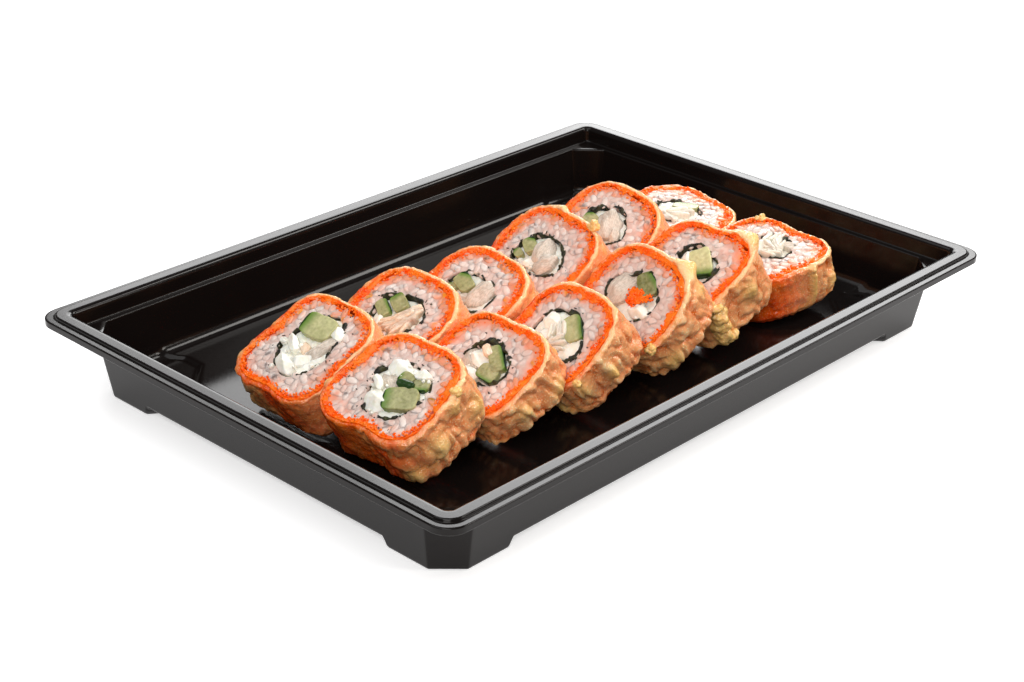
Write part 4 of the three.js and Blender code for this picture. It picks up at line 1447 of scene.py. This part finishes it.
class RollSizes(bpy.types.PropertyGroup):
    """Sizes that all slices share."""

    batter_thin: length("Thin batter", "Batter where it lies thin", 1.5)
    batter_thick: length("Thick batter", "Batter where it has gathered", 2.4)
    roe_wall: length("Roe wall", "Thickness of the roe", 1.5)
    outline_twist: length("Outline twist", "Lopsidedness of each slice's corners", 0.4)
    egg: length("Egg", "Radius of one fish egg", 0.42)
    grain_length: length("Grain length", "Half length of a rice grain", 2.9)
    grain_width: length("Grain width", "Half width of a rice grain", 1.35)
    seaweed_wall: length("Seaweed wall", "Thickness of the damp seaweed", 0.55)
    eggs: IntProperty(name="Eggs", description="Fish eggs on each face", default=400, min=10)
    grains_apart: length("Grains apart", "Least distance between grains", 2.25)


class TrayLooks(bpy.types.PropertyGroup):
    """Finish of the tray."""

    colour: colour("Tray", "Sheet plastic", 15, 11, 10)
    roughness: FloatProperty(name="Roughness", description="Of the sheet", default=0.11, min=0.0,
                             max=1.0, subtype="FACTOR")


class CrustLooks(bpy.types.PropertyGroup):
    """Shape and colours of the batter."""

    crag: length("Crag", "Height of the batter's crags", 1.0)
    big_mound: length("Big mounds", "Spacing of the larger mounds", 3.9)
    small_mound: length("Small mounds", "Spacing of the smaller mounds", 2.0)
    steps_round: IntProperty(name="Steps round", description="Points round a slice", default=340, min=24)
    steps_deep: IntProperty(name="Steps deep", description="Points through a slice", default=38, min=6)
    crisp: colour("Crisp", "Thick flaps and drips", 244, 196, 118)
    salmon: colour("Salmon", "Thin pale batter over stained rice", 252, 160, 108)
    orange: colour("Orange", "Thin batter over roe", 236, 78, 4)
    amber: colour("Amber", "Thin batter with oil", 226, 104, 18)
    # Crease colour: partly the batter's own colour, partly painted shade in the hollows.
    crease_and_shade: colour("Crease", "Deep creases of the crags", 226, 104, 34)
    blush: colour("Blush", "Batter that the roe has stained", 252, 168, 114)
    gold: colour("Gold", "Flanks of the crags", 238, 166, 98)
    # Tip colour: partly the batter's own colour, partly painted highlight; also the painted glints at the
    # bubbles.
    pale: colour("Pale", "Tips of the crags", 254, 222, 170)
    # Cut batter on the upper side: partly its own colour, partly painted highlight.
    peach_and_highlight: colour("Peach", "Batter at the cut", 255, 206, 150)
    stain: colour("Stain", "Batter at the cut beside the roe", 255, 120, 24)


class FoodLooks(bpy.types.PropertyGroup):
    """Colours of roe, rice, seaweed and filling."""

    roe: colour("Roe", "Most eggs", 255, 106, 8)
    roe_deep: colour("Deep roe", "Redder eggs", 252, 80, 0)
    roe_light: colour("Light roe", "Yellower eggs and stained rice", 255, 150, 42)
    rice: colour("Rice", "Opaque grains", 250, 230, 220)
    rice_clear: colour("Clear rice", "Half-clear grains", 226, 192, 180)
    rice_pink: colour("Pink rice", "Rice stained by roe", 250, 156, 122)
    rice_grey: colour("Grey rice", "Rice near the seaweed", 208, 190, 182)
    seaweed: colour("Seaweed", "Damp seaweed", 24, 24, 18)
    seaweed_green: colour("Green seaweed", "Thin seaweed", 66, 66, 34)
    cucumber: colour("Cucumber", "Watery flesh", 100, 102, 50)
    cucumber_light: colour("Light cucumber", "Flesh near the seeds", 218, 214, 162)
    cucumber_green: colour("Green cucumber", "Flesh near the skin", 96, 132, 48)
    cucumber_skin: colour("Cucumber skin", "Dark skin", 34, 62, 22)
    cheese: colour("Cheese", "Cream cheese", 255, 253, 244)
    cheese_deep: colour("Deep cheese", "Cream cheese in folds", 244, 240, 222)
    fish: colour("Fish", "White fish", 228, 216, 202)
    fish_deep: colour("Deep fish", "Clear flakes of fish", 190, 176, 160)
    shrimp: colour("Shrimp", "Pale shrimp", 246, 226, 204)
    shrimp_deep: colour("Deep shrimp", "Pink fibres", 230, 190, 156)


class StageLooks(bpy.types.PropertyGroup):
    """Floor and lights."""

    floor: colour("Floor", "Pale floor", 244, 244, 245)
    sky: FloatProperty(name="Sky", description="Strength of the even light", default=0.2, min=0.0)
    key: power("Key", "Overhead light", 6.8)
    back: power("Back", "Right one of the two lights behind", 7.4)
    front: power("Front", "Low light at the right", 3.0)
    side: power("Side", "High light at the right", 8.6)
    fill: power("Fill", "Light at the left", 7.0)


# ---- Operators ----

def stand(name, data, axes, spot):
    """Stands a light or a camera in the scene, with its three axes and its place given outright."""
    matrix = np.eye(4)
    matrix[:3, :3] = np.stack(axes, axis=1)
    matrix[:3, 3] = spot
    thing = bpy.data.objects.new(name, data)
    thing.matrix_world = Matrix(matrix)
    bpy.context.scene.collection.objects.link(thing)
    return thing


def area_light(light, watts):
    """A soft rectangular light that looks at its target, rolled about its own axis."""
    data = bpy.data.lights.new(light.name, "AREA")
    data.shape = "RECTANGLE"
    data.size = light.size[0]
    data.size_y = light.size[1]
    data.energy = watts
    data.color = light.tint
    away = np.array(light.target) - np.array(light.place)
    away = away / np.linalg.norm(away)
    right = np.cross(away, (0.0, 0.0, 1.0))
    right = right / np.linalg.norm(right)
    up = np.cross(right, away)
    roll = np.radians(light.roll)
    sideways = right * np.cos(roll) - up * np.sin(roll)
    upward = right * np.sin(roll) + up * np.cos(roll)
    stand(light.name, data, (sideways, upward, -away), light.place)


class FRIEDROLL_OT_stage(bpy.types.Operator):
    """Sets the floor, the soft lights and the camera"""

    bl_idname = "friedroll.stage"
    bl_label = "Stage"

    def execute(self, context):
        looks = context.scene.stage_looks
        context.scene.view_settings.view_transform = "Standard"
        half = FLOOR_HALF
        corners = [(-half, -half, 0), (half, -half, 0), (half, half, 0), (-half, half, 0)]
        mesh = bpy.data.meshes.new("floor")
        mesh.from_pydata(corners, [], [(0, 1, 2, 3)])
        mesh.materials.append(stage_material())
        floor = bpy.data.objects.new("floor", mesh)
        context.scene.collection.objects.link(floor)
        world = bpy.data.worlds.new("soft_sky")
        world.use_nodes = True
        sky = world.node_tree.nodes["Background"]
        sky.inputs["Color"].default_value = (*WHITE, 1.0)
        sky.inputs["Strength"].default_value = looks.sky
        context.scene.world = world
        for light in LIGHTS:
            area_light(light, light.share * getattr(looks, light.power))
        data = bpy.data.cameras.new("camera")
        data.sensor_fit = "HORIZONTAL"
        data.sensor_width = CAMERA_SENSOR_MM
        data.lens = CAMERA_LENS_MM
        context.scene.camera = stand("camera", data, CAMERA_AXES, CAMERA_PLACE)
        return {"FINISHED"}


class FRIEDROLL_OT_tray(bpy.types.Operator):
    """Makes the black sheet tray with its rim, lip, ledge and feet"""

    bl_idname = "friedroll.tray"
    bl_label = "Tray"

    def execute(self, context):
        body = shell(tray_points(context.scene.tray_sizes)[::-1])
        make_piece("sheet_tray", body, tray_material(), "tray", ["tray"])
        return {"FINISHED"}


class FRIEDROLL_OT_crusts(bpy.types.Operator):
    """Makes the craggy batter round every slice"""

    bl_idname = "friedroll.crusts"
    bl_label = "Batter"

    def execute(self, context):
        material = crust_material()
        for cut in SLICES:
            body, values = crust(cut)
            make_piece(f"crust_{cut.name}", body, material, "batter", [f"batter_{cut.name}"], **values)
        return {"FINISHED"}


def roe_ring(cut):
    """The band of roe of one slice, with a ragged inner edge from two noises and mounds on its cut."""
    def ragged(cut, angle):
        v = np.cos(angle) * ROE_RADIUS
        u = np.sin(angle) * ROE_RADIUS
        wander = local_noise(cut, v, u, 4.2, 51) + 0.45 * local_noise(cut, v, u, 1.3, 53)
        return roe_inside(cut, angle) + 0.25 + 1.5 * wander

    def top(v, u, share):
        clumps = 0.35 * local_noise(cut, v, u, 2.4, 54)
        return clumps + 0.3 * (local_noise(cut, v, u, 0.9, 52, mounds) - 0.4) + 0.4 - 0.5 * share

    points, _ = layer_ring(cut, about_middle(cut, batter_inside, 0.1), about_middle(cut, ragged), top,
                           260, 10)
    return shell(points, ring=True)


def egg_sizes(random, low, high, count):
    """Sizes of round eggs, drawn evenly between two shares of the usual size."""
    return bpy.context.scene.roll_sizes.egg * random.uniform(low, high, (count, 1)) * np.ones((1, 3))


def band_eggs(cut, egg, random):
    """Single eggs strewn over the cut of a slice's roe, denser towards the middle of the band."""
    count = bpy.context.scene.roll_sizes.eggs
    angle = random.uniform(0.0, TURN, count)
    share = random.beta(1.3, 1.6, count)
    outer = batter_inside(cut, angle) + 0.1
    inner = roe_inside(cut, angle) - 1.2
    radius = outer * (1.0 - share) + inner * share
    height = 0.35 - 0.5 * share + random.uniform(-0.1, 0.25, count)
    spots = round_face(cut, radius, angle, height)
    size = egg_sizes(random, 0.75, 1.15, count)
    return copies(egg, spots, random_turns(random, count), size)


def egg_heap(cut, chunk, egg, random):
    """Eggs heaped on a face: even draws over a three-lobed ellipse with a few strays, lower towards its
    edge by the square of the distance, and uneven by noise."""
    count = 330
    way = random.uniform(0.0, TURN, count)
    far = random.uniform(0.02, 1.0, count) ** 0.6 * (0.85 + 0.3 * np.sin(3.0 * way + 1.0))
    far += random.exponential(0.08, count)
    turn = np.radians(chunk.turn)
    p = chunk.half[0] * far * np.cos(way)
    q = chunk.half[1] * far * np.sin(way)
    v = chunk.middle[0] + p * np.cos(turn) - q * np.sin(turn)
    u = chunk.middle[1] + p * np.sin(turn) + q * np.cos(turn)
    height = chunk.top - 0.9 * far ** 2 + random.uniform(-0.5, 0.3, count)
    height += 0.7 * local_noise(cut, v, u, 1.4, 55)
    size = egg_sizes(random, 0.85, 1.3, count)
    return copies(egg, place(cut, v, u, height), random_turns(random, count), size)


class FRIEDROLL_OT_roe(bpy.types.Operator):
    """Makes the band of roe round the rice and the eggs that show on its cut"""

    bl_idname = "friedroll.roe"
    bl_label = "Roe"

    def execute(self, context):
        bands = [roe_ring(cut) for cut in SLICES]
        make_piece("roe_band", joined(bands), roe_material("roe_band"), "roe",
                   [f"roe_{cut.name}" for cut in SLICES])
        egg = ball(3, 6)
        eggs = []
        for cut in SLICES:
            random = np.random.default_rng(EGG_SEED + cut.number)
            eggs.append(band_eggs(cut, egg, random))
            for chunk in CHUNKS[cut.name]:
                if chunk.kind == "roe":
                    eggs.append(egg_heap(cut, chunk, egg, random))
        make_piece("roe_eggs", joined(eggs), roe_material("roe_eggs"), "roe", smooth=False)
        return {"FINISHED"}


def face_turns(spin, dip):
    """Turns of a shape that lies on a face: a dip about its width, then a spin on the face."""
    zero = 0.0 * spin
    one = zero + 1.0
    on_face = np.stack([
        np.stack([np.cos(spin), -np.sin(spin), zero], axis=-1),
        np.stack([np.sin(spin), np.cos(spin), zero], axis=-1),
        np.stack([zero, zero, one], axis=-1),
    ], axis=1)
    tip = np.stack([
        np.stack([np.cos(dip), zero, -np.sin(dip)], axis=-1),
        np.stack([zero, one, zero], axis=-1),
        np.stack([np.sin(dip), zero, np.cos(dip)], axis=-1),
    ], axis=1)
    return np.einsum("njk,nkl->njl", on_face, tip)


def laid(cut, template, spots, spin, dip, sizes, ceiling):
    """Copies of one small shape laid on a slice's face. What stands over the ceiling is pressed down to
    a fifth of its height, as a knife leaves it."""
    middles = np.stack(np.broadcast_arrays(*spots), axis=-1)
    vertices, quads, triangles = copies(template, middles, face_turns(spin, dip), sizes)
    over = np.maximum(vertices[:, 2] - ceiling, 0.0)
    return place(cut, vertices[:, 0], vertices[:, 1], vertices[:, 2] - 0.8 * over), quads, triangles


def flush(up):
    """How strongly the roe stains the rice, by how far up the face a place is: less on the lower part."""
    return 0.4 + 0.6 * ease(-0.6, 0.2, up)


def rice_ring(cut):
    """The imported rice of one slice, with mounds and noise on its cut. Also returns how near each point
    is to the roe and to the core."""
    def top(v, u, share):
        grains = local_noise(cut, v, u, 2.7, 41, mounds) - 0.6
        return 0.3 * grains + 0.3 * local_noise(cut, v, u, 3.4, 42) - 0.1

    columns = 220
    points, share = layer_ring(cut, about_middle(cut, roe_inside, 0.3), about_core(cut, -0.1), top,
                               columns, 24)
    near_roe = np.clip(1.0 - share / 0.55, 0.0, 1.0) * flush(np.sin(round_angles(columns)))
    near_core = np.clip((share - 0.45) / 0.55, 0.0, 1.0)
    return shell(points, ring=True), spread(near_roe, True), spread(near_core, True)


def cut_grains(cut, grain):
    """Grains of rice that lie on the face of one slice, a little higher near the core. Also returns how
    near each is to the roe and to the core, and how opaque it is."""
    sizes = bpy.context.scene.roll_sizes
    random = np.random.default_rng(GRAIN_SEED + cut.number)
    margin = 0.9
    reach = 24.0
    tries = 3200
    knife = 0.05
    spots = scattered(random, inside_rice(cut, margin), reach, sizes.grains_apart / MM, tries)
    count = len(spots)
    across = spots - np.array(cut.core[:2])
    core = np.hypot(*across.T) - core_radius(cut, np.arctan2(across[:, 1], across[:, 0]))
    roe = roe_inside(cut, np.arctan2(spots[:, 1], spots[:, 0])) - np.hypot(*spots.T)
    height = random.uniform(-1.0, -0.45, count) + 0.4 * np.exp(-core / 1.6)
    size = np.stack([
        sizes.grain_length * random.uniform(0.7, 1.1, count),
        sizes.grain_width * random.uniform(0.85, 1.15, count),
        sizes.grain_width * random.uniform(0.6, 0.85, count),
    ], axis=-1) / MM
    body = laid(cut, grain, (spots[:, 0], spots[:, 1], height), random.uniform(0.0, np.pi, count),
                random.normal(0.0, 0.25, count), size, knife)
    near_roe = np.clip(1.0 - roe / 4.2, 0.0, 1.0) * flush(spots[:, 1] / ROE_RADIUS)
    near_core = np.clip(1.0 - core / 3.5, 0.0, 1.0)
    opaque = random.uniform(0.0, 1.0, count)
    points = len(grain[0])
    return body, np.repeat(near_roe, points), np.repeat(near_core, points), np.repeat(opaque, points)


class FRIEDROLL_OT_rice(bpy.types.Operator):
    """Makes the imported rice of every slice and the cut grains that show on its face"""

    bl_idname = "friedroll.rice"
    bl_label = "Rice"

    def execute(self, context):
        material = rice_material("rice")
        beds, near_roe, near_core = zip(*[rice_ring(cut) for cut in SLICES])
        make_piece("rice_bed", joined(beds), material, "rice", [f"rice_{cut.name}" for cut in SLICES],
                   near_roe=np.concatenate(near_roe), near_core=np.concatenate(near_core))
        grain = ball(6, 10)
        heaps, near_roe, near_core, opaque = zip(*[cut_grains(cut, grain) for cut in SLICES])
        make_piece("rice_grains", joined(heaps), material, "rice", near_roe=np.concatenate(near_roe),
                   near_core=np.concatenate(near_core), opaque=np.concatenate(opaque))
        return {"FINISHED"}


def seaweed_line(cut, shift, widening):
    """A wavy closed line round the core: its radius, a shift, two noises, and a widening where a third
    noise is high."""
    def line(angle):
        radius = core_radius(cut, angle) + shift
        v = radius * np.cos(angle)
        u = radius * np.sin(angle)
        swing = 0.35 * local_noise(cut, v, u, 1.6, 61) + 0.4 * local_noise(cut, v, u, 4.0, 62)
        width = ease(-0.2, 0.6, local_noise(cut, v, u, 2.2, 65))
        radius = radius + swing + widening * width
        return cut.core[0] + radius * np.cos(angle), cut.core[1] + radius * np.sin(angle)
    return line


def seaweed_ring(cut):
    """The seaweed of one slice, whose edge at the cut is crinkled by one noise and torn down where
    another is high."""
    def top(v, u, share):
        torn = local_noise(cut, v, u, 3.0, 63)
        return 0.35 + 0.6 * local_noise(cut, v, u, 0.8, 64) - 1.5 * ease(0.0, 0.35, torn)

    outside = 0.25
    wall = bpy.context.scene.roll_sizes.seaweed_wall / MM
    points, _ = layer_ring(cut, seaweed_line(cut, outside, 0.5), seaweed_line(cut, outside - wall, -0.9),
                           top, 300, 5)
    return shell(points, ring=True)


def seaweed_flecks(cut, flake):
    """Flat flakes of seaweed on a face, fewer further from the core."""
    random = np.random.default_rng(FLECK_SEED + cut.number)
    count = MANY_FLECKS if cut.name in FLECKED_SLICES else USUAL_FLECKS
    angle = random.uniform(0.0, TURN, count)
    radius = core_radius(cut, angle) + random.exponential(1.3, count)
    v = cut.core[0] + radius * np.cos(angle)
    u = cut.core[1] + radius * np.sin(angle)
    size = np.stack([
        random.uniform(0.25, 0.8, count),
        random.uniform(0.12, 0.3, count),
        random.uniform(0.08, 0.16, count),
    ], axis=-1)
    height = random.uniform(0.0, 0.4, count)
    return laid(cut, flake, (v, u, height), random.uniform(0.0, np.pi, count),
                random.normal(0.0, 0.3, count), size, 1.0)


class FRIEDROLL_OT_seaweed(bpy.types.Operator):
    """Makes the ragged seaweed round every filling and the flecks that the knife has spread"""

    bl_idname = "friedroll.seaweed"
    bl_label = "Seaweed"

    def execute(self, context):
        rings = [seaweed_ring(cut) for cut in SLICES]
        material = seaweed_material()
        make_piece("seaweed_rings", joined(rings), material, "nori",
                   [f"nori_{cut.name}" for cut in SLICES if cut.name != FUSED_SEAWEED])
        flake = ball(2, 6)
        flecks = [seaweed_flecks(cut, flake) for cut in SLICES]
        make_piece("seaweed_flecks", joined(flecks), material, "nori")
        return {"FINISHED"}


def filling_floor(cut):
    """The cheese between the pieces of filling of one slice: a disc of the core's outline with a low
    bank at its edge and mounds on top."""
    angle = round_angles(72)
    low = FULL_DEPTH if cut.name in FULL_SLICES else USUAL_DEPTH
    rows = blend_rows([
        (0.97, cut.thick), (0.97, low + 0.7), (0.9, low), (0.1, low),
    ], [3, 1, 10])
    share = rows[:, :1]
    depth = rows[:, 1:]
    radius = (core_radius(cut, angle) - 0.2) * share
    v = cut.core[0] + radius * np.cos(angle)
    u = cut.core[1] + radius * np.sin(angle)
    lift = (local_noise(cut, v, u, 1.8, 71, mounds) - 0.5) * 1.1 * ease(3.0, 1.5, depth)
    return shell(place(cut, v, u, lift - depth))


def parts_of(chunk, random):
    """The single pieces that one chunk is made of: shreds for crab, a piece with fibres on it for large
    shrimp, and a lump with crumbs round it for cheese. Heaps of roe are made with the other eggs."""
    if chunk.kind == "roe":
        return []
    if chunk.kind == "crab":
        return strands(chunk, random)
    if chunk.kind == "shrimp" and chunk.half[0] > 4.0:
        return [chunk] + strands(chunk._replace(top=chunk.top + 0.45), random)
    if chunk.kind == "cheese":
        return [chunk] + crumbled(chunk, random)
    return [chunk]


def skin_share(part, toward):
    """How near each point is to the skin of a piece: as worked out where the skin has a direction, all
    over for rind, and nowhere else."""
    if part.skin:
        return toward
    return np.full(len(toward), 1.0 if part.kind == "rind" else 0.0)


class FRIEDROLL_OT_filling(bpy.types.Operator):
    """Makes the cucumber, cheese, fish, shrimp and crab inside the seaweed"""

    bl_idname = "friedroll.filling"
    bl_label = "Filling"

    def execute(self, context):
        looks = context.scene.food_looks
        materials = {
            "cucumber": cucumber_material(),
            "cheese": soft_material("cheese", looks.cheese, looks.cheese_deep, 0.3, 0.3, 1.0),
            "fish": soft_material("fish", looks.fish, looks.fish_deep, 0.25, 0.24, 4.0),
            "shrimp": soft_material("shrimp", looks.shrimp, looks.shrimp_deep, 0.35, 0.26, 4.0),
            "crab": soft_material("crab", looks.cheese_deep, looks.fish, 0.25, 0.26, 3.0),
        }
        body = joined([filling_floor(cut) for cut in SLICES])
        make_piece("filling_bed", body, materials["cheese"], "filling",
                   [f"filling_{cut.name}" for cut in SLICES],
                   long=body[0][:, 0] / FIBRE_PATTERN, short=body[0][:, 1] / FIBRE_PATTERN)
        kinds = {kind: [] for kind in materials}
        for cut in SLICES:
            random = np.random.default_rng(SHRED_SEED + cut.number)
            number = 0
            for chunk in CHUNKS[cut.name]:
                kind = "cucumber" if chunk.kind == "rind" else chunk.kind
                for part in parts_of(chunk, random):
                    number += 1
                    kinds[kind].append((cut, part, *chunk_shell(cut, part, number)))
        for kind, found in kinds.items():
            cuts, parts, shells, toward, along, across = zip(*found)
            if kind == "cucumber":
                values = {
                    "toward": [skin_share(part, share) for part, share in zip(parts, toward)],
                    "tone": [
                        np.full(len(share), CUCUMBER_TONES.get(cut.name, USUAL_TONE))
                        for cut, share in zip(cuts, toward)
                    ],
                }
            else:
                values = {"long": along, "short": across}
            make_piece(f"filling_{kind}", joined(shells), materials[kind], "filling",
                       **{key: np.concatenate(numbers) for key, numbers in values.items()})
        return {"FINISHED"}


def crumb(cut, spot, size, number, template):
    """A loose crumb of batter: a ball whose radius follows large and small mounds. Also returns how far
    each point stands out."""
    base, quads, triangles = template
    lumps = mounds(base * 0.9 + 5.0 * number, 15) + 0.5 * mounds(base * 2.3 + 5.0 * number, 16)
    points = base * size * (0.62 + 0.62 * (lumps[:, None] - 0.55))
    v, u, h = spot
    placed = place(cut, v + points[:, 0], u + points[:, 1], h + 0.8 * points[:, 2])
    return (placed, quads, triangles), np.clip(lumps - 0.2, 0.0, 1.0)


class FRIEDROLL_OT_crumbs(bpy.types.Operator):
    """Makes the loose crumbs of batter"""

    bl_idname = "friedroll.crumbs"
    bl_label = "Crumbs"

    def execute(self, context):
        cuts = {cut.name: cut for cut in SLICES}
        template = ball(22, 40)
        shells, rise = zip(*[
            crumb(cuts[name], spot, size, number, template)
            for number, (name, spot, size) in enumerate(CRUMBS)
        ])
        rise = np.concatenate(rise)
        # Higher bumps of the crumbs are painted paler and crisper and their hollows darker: partly painted
        # highlight and painted shade.
        make_piece("batter_crumbs", joined(shells), bpy.data.materials["fried_batter"], "batter",
                   rise=rise, rough=np.ones(len(rise)), crisp=0.5 + 0.5 * rise)
        return {"FINISHED"}


OPERATORS = [
    FRIEDROLL_OT_stage,
    FRIEDROLL_OT_tray,
    FRIEDROLL_OT_crusts,
    FRIEDROLL_OT_roe,
    FRIEDROLL_OT_rice,
    FRIEDROLL_OT_seaweed,
    FRIEDROLL_OT_filling,
    FRIEDROLL_OT_crumbs,
]
GROUPS = {
    "tray_sizes": TraySizes,
    "roll_sizes": RollSizes,
    "tray_looks": TrayLooks,
    "crust_looks": CrustLooks,
    "food_looks": FoodLooks,
    "stage_looks": StageLooks,
}


class FRIEDROLL_PT_panel(bpy.types.Panel):
    """Lists the makers and their values"""

    bl_idname = "FRIEDROLL_PT_panel"
    bl_label = "Fried rolls"
    bl_space_type = "VIEW_3D"
    bl_region_type = "UI"
    bl_category = "Fried rolls"

    def draw(self, context):
        for operator in OPERATORS:
            self.layout.operator(operator.bl_idname)
        for key in GROUPS:
            box = self.layout.box()
            group = getattr(context.scene, key)
            for name in group.__annotations__:
                box.prop(group, name)


def register():
    """Registers the values, the operators and the panel."""
    for key, group in GROUPS.items():
        bpy.utils.register_class(group)
        setattr(bpy.types.Scene, key, PointerProperty(type=group))
    for operator in OPERATORS:
        bpy.utils.register_class(operator)
    bpy.utils.register_class(FRIEDROLL_PT_panel)


def unregister():
    """Takes out the panel, the operators and the values."""
    bpy.utils.unregister_class(FRIEDROLL_PT_panel)
    for operator in reversed(OPERATORS):
        bpy.utils.unregister_class(operator)
    for key, group in reversed(GROUPS.items()):
        delattr(bpy.types.Scene, key)
        bpy.utils.unregister_class(group)


def main():
    """Makes every piece in order."""
    register()
    bpy.ops.friedroll.stage()
    bpy.ops.friedroll.tray()
    bpy.ops.friedroll.crusts()
    bpy.ops.friedroll.roe()
    bpy.ops.friedroll.rice()
    bpy.ops.friedroll.seaweed()
    bpy.ops.friedroll.filling()
    bpy.ops.friedroll.crumbs()


if __name__ == "__main__":
    main()
